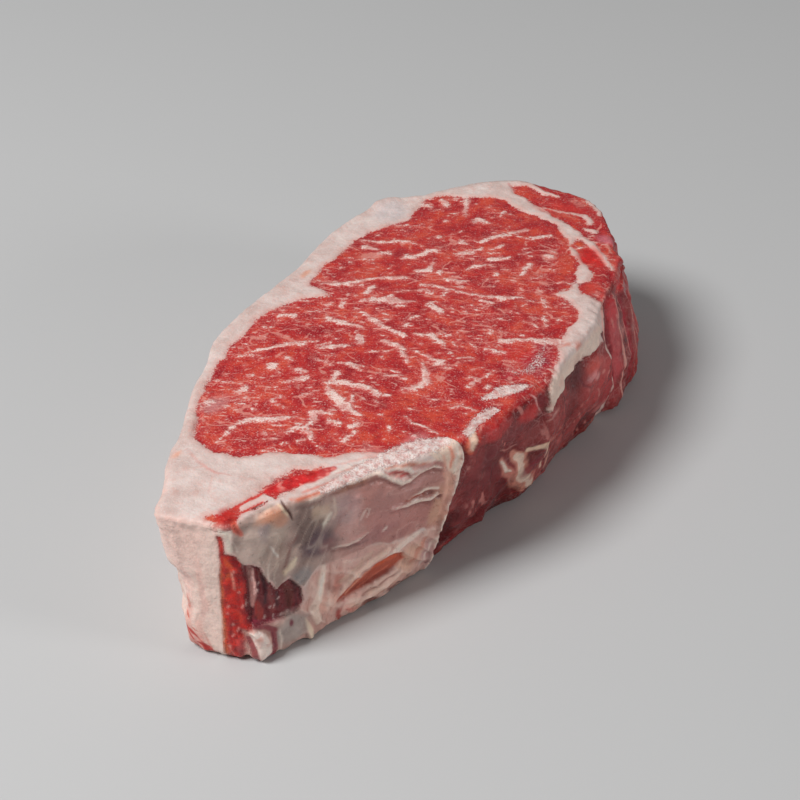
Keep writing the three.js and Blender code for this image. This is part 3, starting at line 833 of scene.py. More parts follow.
AMBER_STRIP = [
    (50.4, 8.6, 0.8), (53.4, 9.8, 2.2), (56.8, 11, 4.2), (60.5, 12.2, 5.4), (64, 13.4, 6.2),
    (67.4, 14.4, 6), (71, 13.6, 4), (73.4, 12, 0.8),
]
FAT_TAG = [(39.6, 8.4, 0.4), (40.4, 5.8, 1.6), (41.2, 3, 2), (41.5, 0.6, 1)]
CREAM_RIDGE = [(46.3, 22.6, 1.2), (45.6, 17.6, 2.2), (44.4, 13.4, 2.6), (42.8, 10, 2.8), (43.8, 5.6, 2.2)]
CREAM_BAND = [(51.2, 10.8, 0.8), (53, 13.2, 1.4), (55.8, 15.8, 1.8), (60.4, 17.9, 2), (66, 20, 1.6)]
LOW_RIDGE = [(57.6, 4.4, 1), (62, 5.8, 2), (67, 6.8, 2.2), (72, 8.2, 1.2)]
LOWER_PATCHES = [
    (36, 7, 5, 4.4, (126, 106, 100), 0.85),
    (31, 3, 5, 3, (140, 112, 102), 0.7),
    (43.6, 5, 1.3, 4.5, (138, 102, 92), 0.6),
    (50.2, 15.6, 1.3, 4.2, (160, 98, 86), 0.7),
    (53, 24, 7, 3, (170, 132, 124), 0.85),
    (57, 20.5, 7, 2.6, (172, 134, 126), 0.7),
    (47.2, 9.5, 3, 3, (206, 160, 144), 0.7),
    (55, 6, 3.2, 2.6, (206, 158, 146), 0.85),
    (57, 3.5, 3, 2, (200, 166, 150), 0.7),
    (75, 11, 5, 5, (186, 148, 128), 0.7),
    (82.5, 8, 2.2, 5, (150, 112, 114), 0.6),
    (84.6, 3, 1.4, 3, (118, 66, 82), 0.6),
    (64, 6, 4, 1.6, (196, 164, 146), 0.7),
    (69, 5, 3, 1.4, (176, 134, 118), 0.7),
    (72, 2.4, 5, 1.3, (86, 30, 30), 0.85),
    (62, 1.6, 3, 1.3, (104, 52, 46), 0.7),
]
LOWER_STREAKS = [
    (0.7, (104, 36, 26), [(55, 10, 1.4), (60, 10.6, 2), (65, 11.2, 1.8), (69, 11.6, 0.8)]),
    (0.7, (176, 78, 48), [(62, 15, 1), (66, 16, 1.8), (70.4, 15, 1.4)]),
    (0.85, (220, 152, 128), [(53.2, 9.6, 0.4), (57, 12.4, 0.6), (61.6, 15, 0.4)]),
    (0.5, (190, 104, 80), [(57, 9.8, 0.3), (62, 12, 0.5), (67, 13, 0.3)]),
    (0.9, (216, 182, 166), [
        (51.2, 10.8, 1), (53, 13.2, 1.6), (55.8, 15.8, 2), (60.4, 17.9, 2.2), (66, 20, 1.8),
    ]),
    (0.85, (138, 44, 38), [(52.4, 8.2, 0.5), (51, 6.4, 1.6), (50.4, 3.8, 1.9), (51.4, 1.2, 1.2)]),
    (0.6, (172, 74, 66), [(53.4, 4.4, 0.8), (55, 2.4, 1.2), (57.4, 1.6, 0.6)]),
    (0.5, (226, 200, 186), [(54, 7.6, 0.8), (56, 6.4, 1.2), (56.6, 4.4, 0.6)]),
    (0.9, (224, 202, 190), [(66.5, 17.6, 1.8), (70, 18.6, 3), (74.3, 18.9, 2.4), (77.5, 19.6, 1.2)]),
    (0.9, (206, 182, 168), [
        (46.3, 22.6, 1.2), (45.6, 17.6, 2.4), (44.4, 13.4, 2.8), (42.8, 10, 3), (43.8, 5.6, 2.4),
    ]),
    # a painted highlight along the cream ridge
    (0.85, (236, 222, 210), [(46, 20.4, 0.7), (45.3, 16.6, 1.2), (44.2, 13, 0.7)]),
    (0.5, (216, 190, 178), [(47.8, 13, 0.7), (47, 9, 1), (47.6, 6, 0.6)]),
    (0.5, (150, 100, 88), [(49, 12.4, 0.3), (48.4, 8, 0.5), (45.8, 3, 0.6)]),
    (0.7, (178, 146, 130), [(51.5, 15, 1.4), (56, 18.4, 1.8), (61, 21, 1.4)]),
    (0.6, (172, 104, 88), [(76.5, 8.5, 1.4), (78.5, 12, 2.4), (80.6, 15.4, 1.2)]),
    (0.7, (222, 204, 192), [(80.8, 4, 0.8), (82.6, 9, 1), (84.4, 14, 0.8)]),
    (0.85, (208, 176, 162), [(57.6, 4.4, 1.2), (62, 5.8, 2.2), (67, 6.8, 2.4), (72, 8.2, 1.4)]),
    (0.8, (206, 172, 158), [(60, 8.4, 0.7), (65, 9.4, 1.2), (70, 10.2, 0.8)]),
    # painted shade in the crease above the low ridge
    (0.8, (116, 68, 60), [(58, 6.6, 0.5), (63, 8, 0.7), (68, 8.8, 0.6), (72, 9.6, 0.4)]),
    (0.6, (146, 92, 80), [(48.4, 22.6, 0.3), (48.2, 18.6, 0.6), (48, 14, 0.5)]),
    (0.6, (146, 96, 84), [(42.4, 18, 0.3), (41.4, 14, 0.6), (40.8, 10.6, 0.5)]),
    (0.5, (212, 180, 168), [(52, 22.4, 0.4), (56, 21, 0.9), (60, 20.6, 0.5)]),
    (0.5, (150, 102, 94), [(51, 20, 0.3), (55, 18.8, 0.6), (59, 19.4, 0.4)]),
    (0.6, (132, 84, 72), [(59, 3.2, 0.4), (64, 4, 0.6), (69, 4.8, 0.4)]),
]


def lower_lumps():
    """The fat lumps, the amber strip and the cream ridges under the membrane."""
    under = soft(area(ROUGH_WALL, LOWER_FAT), 1.0)
    skin.paint(0.97 * under, (172, 134, 124), SHADE)
    ovals(ROUGH_WALL, LOWER_PATCHES, SHADE)
    amber = stroke(FINE_WALL, AMBER_STRIP)
    skin.paint(0.97 * soft(amber, 0.5), (140, 58, 38), SHADE)
    # among these streaks are a painted highlight on the cream ridge and painted shade in a crease
    lines(FINE_WALL, LOWER_STREAKS, SHADE * 1.05)
    tag = stroke(FINE_WALL, FAT_TAG)
    skin.paint(0.9 * soft(tag, 0.3), (218, 196, 172), SHADE)
    ridges = 0.55 * soft(tag, 0.5)
    for height, path, fade in [(0.5, CREAM_RIDGE, 1.0), (0.6, CREAM_BAND, 0.8), (0.4, LOW_RIDGE, 0.8)]:
        ridges = ridges + height * soft(stroke(FINE_WALL, path), fade)
    skin.rise += ridges
    return under, amber


MEMBRANE_PATCHES = [
    (25, 38, 4.5, 6, (172, 152, 142), 0.6),
    (30, 40.7, 2.2, 2.6, (126, 110, 112), 0.7),
    (33.4, 38, 3, 3.4, (162, 144, 132), 0.6),
    (29, 33, 3, 4, (158, 140, 128), 0.4),
    (31, 44.2, 4.4, 1.9, (192, 130, 102), 0.9),
    (34.6, 42.4, 2, 1.8, (170, 120, 98), 0.7),
    (41.4, 39.6, 3.4, 4.4, (102, 82, 76), 0.8),
    (41.6, 34.4, 3.6, 3, (88, 68, 66), 0.75),
    (43.4, 28.6, 3.4, 3.2, (118, 96, 90), 0.6),
    (46.6, 39.6, 2.8, 2.8, (162, 138, 120), 0.8),
    (45.4, 36.6, 2.2, 1.3, (116, 98, 88), 0.6),
    (44, 36, 4.6, 3.4, (96, 78, 72), 0.6),
    (46, 31, 5.2, 3.8, (78, 58, 64), 0.9),
    (48.8, 28.4, 2.6, 2.2, (112, 74, 72), 0.6),
    (54, 38, 4.4, 4.6, (150, 122, 122), 0.6),
    (55, 31.4, 4, 3, (160, 118, 112), 0.6),
    (40, 23.4, 3, 2.2, (112, 108, 108), 0.75),
    (34, 31, 2.2, 4.4, (140, 118, 106), 0.5),
    (56, 44.8, 6, 1, (136, 90, 68), 0.7),
    (66, 31, 6, 4, (156, 106, 102), 0.5),
    (65, 37, 5, 4, (142, 100, 96), 0.5),
    (62, 27, 7, 2, (132, 86, 86), 0.5),
    (76, 37.4, 5, 1.8, (166, 122, 118), 0.6),
    (76, 26, 6, 4, (152, 98, 92), 0.5),
    (70, 23, 4, 1.6, (122, 78, 76), 0.5),
    (82.8, 26, 1.8, 7, (172, 130, 108), 0.7),
    (85.8, 33, 1.8, 5, (196, 150, 130), 0.7),
    (85, 22, 1, 6, (190, 140, 122), 0.7),
]
MEMBRANE_STREAKS = [
    (0.7, (104, 64, 58), [(39, 35.8, 0.8), (36.6, 32.2, 1.2), (35.2, 29, 1.1), (34.7, 26.4, 0.6)]),
    (0.5, (110, 86, 80), [(36, 37, 0.5), (33, 31.5, 0.8), (31.6, 26.5, 0.7)]),
    (0.6, (172, 148, 136), [(40, 33.6, 0.6), (37.6, 30.6, 0.9), (36.4, 29, 0.6)]),
    (0.55, (174, 152, 138), [(34.6, 36.6, 0.6), (32.2, 31, 0.9), (31.2, 27, 0.8)]),
    (0.85, (208, 188, 162), [(38.2, 28.8, 1), (36.8, 27.3, 1.7), (35.2, 26, 1.2)]),
    (0.7, (188, 166, 150), [(50, 42.6, 0.6), (50.6, 39.5, 0.9), (50.4, 36.5, 0.8)]),
    (0.5, (178, 154, 138), [(46.8, 42, 0.5), (47.6, 38.6, 0.8)]),
    (0.85, (216, 206, 190), [(48.8, 37.8, 0.7), (48.4, 36.2, 1.5), (47.4, 35.6, 0.8)]),
    (0.5, (136, 96, 92), [(56, 40, 0.6), (53, 36, 1), (51.4, 32, 0.7)]),
    (0.45, (176, 140, 134), [(58.4, 38.4, 0.5), (55.8, 34.4, 0.9), (54.2, 31.4, 0.5)]),
]


def membrane_film():
    """The colours of the membrane, from grey by the tail end to pink towards its free edge."""
    film = soft(area(EDGE_WALL, MEMBRANE), 0.4)
    warm = smoothstep(42, 62, WALL[:, 0] + 7 * noise(POINTS, 12, 83))
    skin.paint(0.98 * film * (1 - warm), (140, 118, 110), SHADE)
    skin.paint(0.98 * film * warm, (150, 104, 97), SHADE)
    drift = [0.9 * noise(POINTS, 4.2, seed) for seed in (154, 155)]
    drifting = ROUGH_WALL + np.column_stack(drift)
    ovals(drifting, MEMBRANE_PATCHES, SHADE, film)
    lines(drifting, MEMBRANE_STREAKS, SHADE, film, edge=0.7)
    return film, warm


CRACK = [(35.4, 47.6, 0.4), (35.9, 45.2, 0.7), (37, 43.2, 0.8), (37.7, 41.2, 0.4)]
HOLLOW = [(67, 44.8, 0.6), (69.4, 43.8, 1.6), (71.6, 42.8, 2.2), (73.8, 41.9, 0.8)]
NOTCH = [(89, 44.6, 0.4), (89.8, 42.2, 0.9), (90, 40.4, 0.4)]
RIM_STREAKS = [
    (0.9, (232, 208, 178), [(34, 46.8, 0.6), (35.1, 45.2, 0.9), (36.2, 43.2, 0.6)]),
    (0.8, (232, 186, 164), [(27.4, 45, 0.5), (29.4, 46.2, 0.8), (32.4, 46.2, 0.8), (34.6, 46.4, 0.5)]),
    (0.8, (198, 96, 66), [(38, 46.4, 0.6), (41.4, 45.8, 1.2), (46, 45.6, 1), (51, 45.4, 0.5)]),
    (0.7, (206, 92, 72), [(42, 47.4, 0.4), (48, 46.8, 0.7), (54, 47, 0.8), (60, 47.2, 0.5)]),
    (0.8, (204, 76, 66), [(54, 46.8, 0.3), (57, 46.4, 0.7), (60.4, 46.8, 0.4)]),
    (0.8, (190, 98, 66), [(67.6, 45.6, 0.4), (71, 45.3, 0.9), (74.4, 44.4, 1), (80, 42.8, 0.7)]),
    (0.9, (186, 62, 58), [(67, 44.8, 0.6), (69.4, 43.8, 1.6), (71.6, 42.8, 2.2), (73.8, 41.9, 0.8)]),
    (0.9, (232, 190, 176), [(68, 43.6, 0.3), (70.6, 42.8, 0.5), (73, 42.6, 0.3)]),
    (0.9, (238, 220, 208), [
        (66.4, 45.4, 0.4), (69, 44.9, 0.6), (71.6, 44.5, 0.7), (74.2, 43.6, 0.7), (75, 42, 0.4),
    ]),
    (0.8, (236, 218, 204), [(72.6, 45.6, 0.5), (75.8, 45.8, 0.8), (76.6, 46.8, 0.5)]),
    (0.6, (214, 150, 142), [(75.6, 43, 1.2), (79, 42.4, 1.2), (82, 42, 0.8)]),
    (0.8, (206, 84, 62), [(20, 46.4, 1.6), (20.8, 44, 2.2), (22.2, 42.4, 1.4)]),
    (0.7, (108, 18, 16), [(20.4, 44.4, 0.7), (21.4, 43, 0.7)]),
    (0.9, (226, 212, 198), [(16.6, 43.8, 1), (18.8, 42.8, 1.2)]),
    (0.9, (212, 196, 182), [(18.5, 42, 1.2), (18.9, 37.8, 1.5)]),
]
RIM_CORNER = [
    (80.6, 45.2), (82.2, 42.6), (84.6, 41), (86.4, 37.4), (88.2, 35.4), (90, 40.4), (89.6, 43.8),
    (87.6, 46.8), (83.4, 46.6),
]
RIM_CORNER_STREAKS = [
    (0.75, (206, 116, 92), [(86.6, 45, 0.6), (87, 41.6, 1.3), (86.8, 38.4, 0.7)]),
    (0.6, (204, 140, 122), [(84.4, 43.4, 0.5), (85, 40.4, 1), (84.8, 36.4, 0.6)]),
    # a bright line by the free edge, part pale tissue and part painted highlight
    (0.7, (240, 226, 214), [(88.2, 44.6, 0.4), (88.8, 41, 0.8), (88, 37, 0.5)]),
]


def membrane_rim():
    """The rim above the membrane: its streaks, a hollow, the pale corner by the free edge and a crack
    painted dark as shade.
    """
    lines(FINE_WALL, RIM_STREAKS, STREAK_LIGHT)
    skin.rise -= 0.6 * soft(stroke(FINE_WALL, HOLLOW), 0.6)
    skin.paint(0.9 * soft(area(FINE_WALL, RIM_CORNER), 0.5), (222, 196, 178), RIM_LIGHT)
    lines(FINE_WALL, RIM_CORNER_STREAKS, RIM_LIGHT)
    skin.paint(0.85 * soft(stroke(FINE_WALL, NOTCH), 0.3), (150, 34, 34), RIM_LIGHT)
    crack = stroke(FINE_WALL, CRACK)
    # dark in the crack: painted shade
    skin.paint(0.95 * soft(crack, 0.3), (62, 26, 20), SHADE)
    skin.rise -= 0.6 * soft(crack, 0.5)


MEMBRANE_FOLDS = [  # how high, how wide and where
    (0.9, 0.4, [
        (39, 45.6, 0.4), (44.3, 45, 0.7), (51.5, 45.4, 0.8), (54, 46, 0.9), (56.9, 45.4, 0.9),
        (59.7, 45.6, 0.9), (64.2, 45.5, 1), (66.7, 44.1, 1.1), (69.4, 41.7, 1.1), (71.2, 40.2, 1.2),
        (74.1, 39.9, 1.2), (76.9, 40.9, 1.1), (81.3, 41.2, 1), (83.8, 39.7, 0.6),
    ]),
    (0.6, 0.3, [(68.2, 44.4, 0.4), (71, 44.5, 0.6), (73.6, 43.5, 0.7), (74.3, 41.8, 0.5)]),
    (0.5, 0.3, [(76, 44.2, 0.4), (80, 43.4, 0.6), (83, 42.6, 0.4)]),
    (0.8, 0.4, [(73.4, 33.4, 0.4), (76.3, 33.7, 0.9), (78.7, 34.6, 1.2), (82.8, 33.5, 0.8)]),
    (1, 0.5, [(67.2, 33.4, 0.3), (71.7, 32.2, 0.8), (76, 31.8, 1.4), (80.2, 31, 1.3), (82.2, 32, 0.8)]),
    (0.7, 0.3, [(49.2, 27.2, 0.4), (53.4, 27.2, 0.7), (57, 27.9, 0.6), (60, 29.2, 0.3)]),
]


def membrane_folds():
    """The raised folds, each with a pale crest, part cream tissue and part painted highlight, and a painted
    shadow at its foot.
    """
    for height, width, path in MEMBRANE_FOLDS:
        crest = stroke(FINE_WALL, path)
        foot = stroke(FINE_WALL + [0.1, 0.9 + width], path)
        # pale crest: cream tissue with a painted highlight
        skin.paint(0.9 * soft(crest + 0.1, 0.3), (234, 212, 198), CREST_LIGHT)
        # painted shadow at the fold's foot
        skin.paint(0.5 * soft(foot, 0.5), (96, 52, 48), SHADE)
        skin.rise += 0.75 * height * soft(crest - 0.2, 0.8) - 0.45 * height * soft(foot - 0.1, 0.7)


SLOT = [(72.3, 33.2, 0.4), (76, 33.2, 0.9), (78.6, 32.7, 0.3)]
HOLE = (83, 30.4, 0.9, 0.7)
MEMBRANE_THREADS = [
    (0.7, (220, 200, 190), [(57.6, 34.2, 0.3), (58.6, 35.8, 0.6), (59.8, 36.6, 0.3)]),
    (0.7, (216, 194, 184), [(59.6, 34, 0.3), (60.6, 36, 0.5)]),
    (0.7, (222, 204, 192), [(64.6, 27.2, 0.5), (65.6, 27.8, 0.8)]),
    (0.6, (198, 182, 172), [(19.8, 40.4, 0.3), (20.8, 37, 0.6)]),
    (0.8, (228, 216, 206), [(30.8, 35.6, 0.3), (31.6, 33.6, 0.6), (32.4, 32, 0.3)]),
    (0.7, (200, 182, 170), [(29.6, 31, 0.3), (28.8, 28.4, 0.5), (29.4, 25.4, 0.4)]),
    (0.6, (196, 178, 164), [(32.6, 29.4, 0.3), (31.4, 26, 0.6), (31.6, 23.6, 0.3)]),
    (0.5, (92, 70, 70), [(50, 27, 0.4), (54, 26.4, 0.7), (60, 26, 0.4)]),
    (0.5, (206, 164, 150), [(84.8, 39.2, 0.4), (86.2, 36, 0.6), (85.8, 32.8, 0.4)]),
]


def membrane_holes():
    """A narrow slot and a small hole, the hole painted dark as shade, and the fine threads over the
    membrane.
    """
    slot = stroke(FINE_WALL, SLOT)
    hole = blob(FINE_WALL, *HOLE)
    skin.paint(0.85 * soft(slot, 0.3), (140, 66, 48), SHADE)
    # dark in the small hole: painted shade
    skin.paint(0.85 * soft(hole, 0.3), (96, 50, 50), SHADE)
    skin.rise -= 0.5 * soft(np.minimum(slot, hole), 0.5)
    lines(FINE_WALL, MEMBRANE_THREADS, MEMBRANE_LIGHT)


def free_edge():
    """Where the membrane ends: a pale raised edge, part cream tissue and part painted highlight, and a
    groove beyond it.
    """
    rim = stroke(EDGE_WALL, [(s - 0.6, h, 0.8) for s, h in FREE_EDGE])
    groove = stroke(EDGE_WALL, [(s + 1.2, h, 1.2) for s, h in FREE_EDGE])
    broken = smoothstep(-0.6, -0.1, noise(POINTS, 2.2, 163))
    # pale edge: cream tissue with a painted highlight along it
    skin.paint(0.95 * soft(rim, 0.25) * broken, (238, 216, 202), CREST_LIGHT)
    skin.rise += 1.4 * soft(rim - 0.4, 0.9) - 0.9 * soft(groove, 1.0)


def lumpy_fat(under, amber):
    """The relief of the fat under the membrane, paler on its crests, part paler fat and part painted
    highlight, and painted shade between them.
    """
    s, h = WALL.T
    slanted = np.column_stack([s + 0.9 * h, h * 0.45])
    lumpy = 0.8 * ridged(slanted, 5.2, 91) + 0.35 * ridged(POINTS, 2.6, 92) + 0.2 * noise(POINTS, 1.4, 86)
    low = under * smoothstep(24, 12, h)
    relief = 0.7 * low * lumpy * smoothstep(-1.5, 1.5, amber)
    skin.rise += relief + 0.4 * (under - low) * lumpy - 0.8 * soft(amber, 0.8)
    off_amber = smoothstep(-0.5, 0.8, amber)
    # painted shade in the hollows between the lumps
    skin.paint(0.5 * low * off_amber * smoothstep(-0.1, -0.9, lumpy), (108, 66, 58), SHADE)
    # paler on the crests of the lumps: part paler fat and part painted highlight
    skin.paint(0.45 * under * off_amber * smoothstep(0.3, 1.0, lumpy), (206, 180, 168), SHADE * 1.1)


def creased_film(film, warm):
    """The membrane's fine creases on its pink part, and its strands on the grey part."""
    s, h = WALL.T
    grey = 0.3 * film * (1 - warm)
    creases = ridged(np.column_stack([s * 0.35, h + 0.12 * s]), 3.6, 85)
    strands = ridged(np.column_stack([s - 0.6 * h, h * 0.35]), 3.0, 88)
    skin.rise += film * (0.5 * noise(POINTS, 9, 93) + 0.2 * warm * creases + 0.22 * (1 - warm) * strands)
    skin.rise += film * (0.28 * noise(POINTS, 3.4, 94) + 0.14 * noise(POINTS, 1.5, 95))
    skin.paint(grey * smoothstep(0.3, 0.95, strands), (182, 162, 150), SHADE)
    skin.paint(grey * smoothstep(0.0, -0.8, strands), (92, 74, 70), SHADE)
    skin.paint(0.3 * film * warm * smoothstep(0.6, 0.95, creases), (184, 144, 136), SHADE)


def tail_membrane():
    """The membrane over the tail's wall, what lies under it, its folds and its free edge."""
    under, amber = lower_lumps()
    film, warm = membrane_film()
    skin.gloss(np.maximum(film, 0.75 * under))
    membrane_rim()
    membrane_folds()
    membrane_holes()
    free_edge()
    lumpy_fat(under, amber)
    creased_film(film, warm)


# The front wall beyond the membrane

RIM_FLAP = [
    (125.7, 36.4), (128.3, 37.2), (131.2, 38.4), (138.2, 36.8), (142, 37.4), (145.3, 37.6), (149.4, 38.4),
    (151, 39.8), (155.7, 37.6), (161.1, 38.6), (163.8, 41.4), (166, 44), (168, 47), (140, 47.5),
    (136.2, 44.3), (129.9, 42.9), (127.1, 40.5),
]
RIM_FLAP_TIP = [(128, 38.6, 2), (125.8, 38, 1.2)]
WALL_SEAMS = [
    [(176, 45, 1.2), (173.6, 40, 0.9), (172.3, 36, 1.2), (171.8, 28, 0.7)],
    [(183.4, 42, 0.6), (185, 30, 0.7), (186, 18, 1.1), (185.6, 8, 0.8), (187, 2, 0.6)],
    [(188.4, 41, 0.4), (190, 28, 0.5), (190.6, 14, 0.4)],
    [(193.6, 41, 0.5), (194.6, 30, 0.7), (195, 16, 0.5)],
    [(200, 22, 0.5), (201.6, 14, 0.9), (203, 6, 0.5)],
]
FRONT_END_OF_LEAN = 212  # how far round the wall's lean is drawn here
ALWAYS_LEAN = 6  # how far past the free edge the wall is lean whatever the solids say
# Middle, half sizes, colour, share and how far each bulge stands out
MUSCLE_BULGES = [
    (160, 25, 10, 11, (160, 58, 56), 0.7, 1.2),
    (158, 33, 4, 3, (176, 66, 56), 0.6, 0),
    (141, 24, 6, 9, (124, 42, 42), 0.6, 0.6),
    (110, 13, 9, 11, (84, 18, 22), 0.6, 1),
    (103, 30, 8, 8, (88, 26, 32), 0.6, 0.4),
    (124, 31, 8, 4, (122, 46, 44), 0.6, 0.3),
    (134, 30, 5, 5, (130, 36, 34), 0.6, 0.5),
    (172, 18, 8, 11, (150, 50, 52), 0.7, 0.7),
    (180, 38, 4, 6, (172, 34, 40), 0.8, 0.2),
    (181, 24, 4, 15, (164, 58, 62), 0.75, 0.3),
    (190.6, 22, 1.8, 16, (134, 14, 34), 0.9, -0.8),
    (177, 24, 1.2, 14, (98, 12, 24), 0.9, -0.8),
    (196, 42, 8, 3, (198, 58, 58), 0.7, 0.2),
    (198.6, 22, 1.8, 16, (150, 30, 42), 0.7, -0.4),
    (205.6, 28, 2.4, 14, (150, 40, 46), 0.6, -0.3),
    (148.6, 38.4, 1.6, 1.2, (96, 56, 76), 0.8, -0.5),
    (95.5, 36, 3, 7, (120, 40, 40), 0.6, 0.2),
    (98, 20, 6, 10, (104, 32, 34), 0.5, 0.5),
    (118, 40, 5, 2.6, (170, 34, 32), 0.7, 0),
    (104, 42, 6, 2.2, (160, 36, 36), 0.7, 0),
    (111, 37, 7, 3, (108, 40, 42), 0.6, 0.2),
    (124, 41, 1.8, 2, (100, 18, 26), 0.85, -0.6),
    (133, 36, 2, 1.2, (104, 24, 30), 0.8, -0.4),
    (152, 8, 6, 5, (146, 62, 60), 0.6, 0.3),
    # the next two are painted highlights on the wet lobe
    (156, 30.4, 3, 1.3, (206, 146, 146), 0.45, 0.4),
    (159.8, 28.2, 1.8, 1.1, (214, 160, 156), 0.45, 0.4),
    # the next two are pale pink on the lobe's foot, part tissue and part painted highlight
    (172, 9, 4, 1.6, (196, 128, 122), 0.45, 0.4),
    (165, 13, 3, 1.3, (186, 108, 104), 0.45, 0.3),
    (145, 12, 3, 2, (170, 86, 82), 0.4, 0.3),
]
WALL_STREAKS = [
    (0.6, (84, 20, 30), [(149, 34.5, 0.6), (151, 30, 0.8), (154.5, 27.5, 0.8), (158, 26.6, 0.5)]),
    (0.6, (80, 16, 26), [(168, 36, 0.7), (167.4, 30, 1), (169, 20, 0.8)]),
    (0.7, (206, 160, 156), [(121.6, 44, 0.4), (122, 40.6, 0.5), (123.4, 38.4, 0.4)]),
    (0.5, (200, 150, 140), [(126, 33, 0.3), (130, 33.6, 0.5), (133.5, 33.4, 0.3)]),
    (0.5, (196, 140, 130), [(106, 34, 0.3), (110, 31, 0.5), (114, 31.4, 0.3)]),
    (0.5, (70, 14, 20), [(139, 34, 0.5), (142, 26, 0.9), (147, 16, 0.9), (150, 8, 0.5)]),
    (0.5, (204, 150, 140), [(162, 22, 0.3), (165, 17, 0.6), (164, 12, 0.3)]),
]


def beyond_edge(s, h):
    """How far round a place lies past the membrane's free edge."""
    edge = sorted((height, around) for around, height in FREE_EDGE)
    return s - np.interp(h, [e[0] for e in edge], [e[1] for e in edge])


def uncover_muscle(past, flap, seam):
    """Sets where the wall is lean: from the free edge on, apart from the flap and the seams."""
    s, h = WALL.T
    strip = (past > 0) & (past < ALWAYS_LEAN) & (h < 43) & (h > 1)
    skin.lean = np.where(strip, np.minimum(skin.lean, -0.4 * past), skin.lean)
    on_wall = (h < 45) & (h > 1) & (past > 0) & (s < FRONT_END_OF_LEAN)
    fat = np.maximum(skin.lean, -np.minimum(flap, seam + 0.2))
    skin.lean = np.where(on_wall, fat, skin.lean)


def muscle_bulges(here, bare, small, tiny):
    """The lobes and bulges of the bare muscle, dark by the membrane, with painted shade in the hollows and
    painted highlights on some lobes.
    """
    s, h = WALL.T
    lobes = ridged(np.column_stack([s + 0.25 * h, h * 0.3]), 13, 103)
    broad = noise(np.column_stack([s, h * 0.6]), 8, 101)
    skin.rise += here * (1.1 * lobes + 0.7 * broad + 0.4 * small + 0.2 * tiny)
    skin.paint(0.5 * bare * smoothstep(136, 118, s), (74, 10, 14), SHADE)
    # painted shade in the hollows between the lobes
    skin.paint(0.75 * bare * smoothstep(0.1, -0.8, lobes), (62, 12, 14), SHADE)
    skin.paint(0.4 * bare * smoothstep(0.2, 0.9, small), (146, 60, 58), SHADE)
    # the bulges, among them painted highlights on the wet lobe
    for x, y, half_x, half_y, colour, share, height in MUSCLE_BULGES:
        bulge = soft(blob(ROUGH_WALL, x, y, half_x, half_y), min(half_x, half_y) * 0.5)
        skin.paint(share * bulge * soft(skin.lean, 0.5), colour, SHADE)
        skin.rise += height * bulge * here
    skin.gloss(0.9 * bare)
    flecks = smoothstep(0.4, 0.75, noise(np.column_stack([s + 0.3 * h, h * 0.6]), 1.5, 108))
    flecks *= smoothstep(-0.1, 0.5, noise(POINTS, 9, 109))
    skin.paint(0.55 * bare * flecks, (184, 116, 108), SHADE)
    lines(FINE_WALL, WALL_STREAKS, SHADE)


FORK_SHADOWS = [
    (0.75, (172, 108, 94), [
        (109.4, 27.5, 1.2), (113, 22.5, 3), (117, 17, 3.4), (121.8, 11.5, 3.6), (128, 5, 4.6),
    ]),
    (0.85, (176, 116, 100), [
        (114, 28.4, 2), (118, 24.5, 4.6), (121, 19, 5.6), (124.5, 13, 5.4), (129, 6, 5.6),
    ]),
    (0.6, (170, 104, 92), [(131, 21.5, 1.2), (138.6, 20.6, 1.6), (141.5, 20.4, 1), (144.6, 19.6, 0.6)]),
]
FORK_FAT = [
    (0.9, (222, 194, 176), [
        (115.5, 27.2, 1.2), (118.6, 23.5, 3), (121.5, 18, 3.4), (125, 12, 3), (129.6, 6.2, 3),
    ]),
    (0.85, (230, 212, 198), [(109.8, 26.8, 0.7), (112.4, 23.4, 1.3), (115, 20, 0.9)]),
    (0.85, (218, 184, 158), [
        (119.5, 26.6, 1.4), (124, 24.8, 1.4), (128.5, 22.6, 1.6), (131.6, 20.1, 1.8),
    ]),
    (0.8, (212, 178, 158), [(131.6, 19.6, 1.8), (132.8, 15.7, 1.6), (134.5, 9, 1.5)]),
    (0.7, (190, 142, 126), [(137, 15, 0.8), (138.6, 11.2, 1.1), (137, 7, 0.7)]),
]
FORK_GAPS = [
    (126.6, 15.5, 2.6, 4, (112, 36, 44), 0.85),
    (129, 9.5, 1.4, 2.2, (156, 64, 62), 0.6),
    (123, 9, 1.2, 2, (190, 120, 104), 0.5),
]


def forked_fat(cloudy):
    """The pale forked streak of fat that crosses the muscle."""
    lines(cloudy, FORK_SHADOWS, SHADE, edge=0.6)
    lines(cloudy, FORK_FAT, SHADE * 1.05, edge=0.35)
    ovals(cloudy, FORK_GAPS, SHADE)


RIM_STAIN = [(146.2, 46.6, 0.6), (148.6, 45.2, 1.8), (151.6, 44.8, 0.6)]
FORK_RELIEF = [(110, 27, 1), (116, 22, 4), (122, 14, 5), (129, 5, 5)]


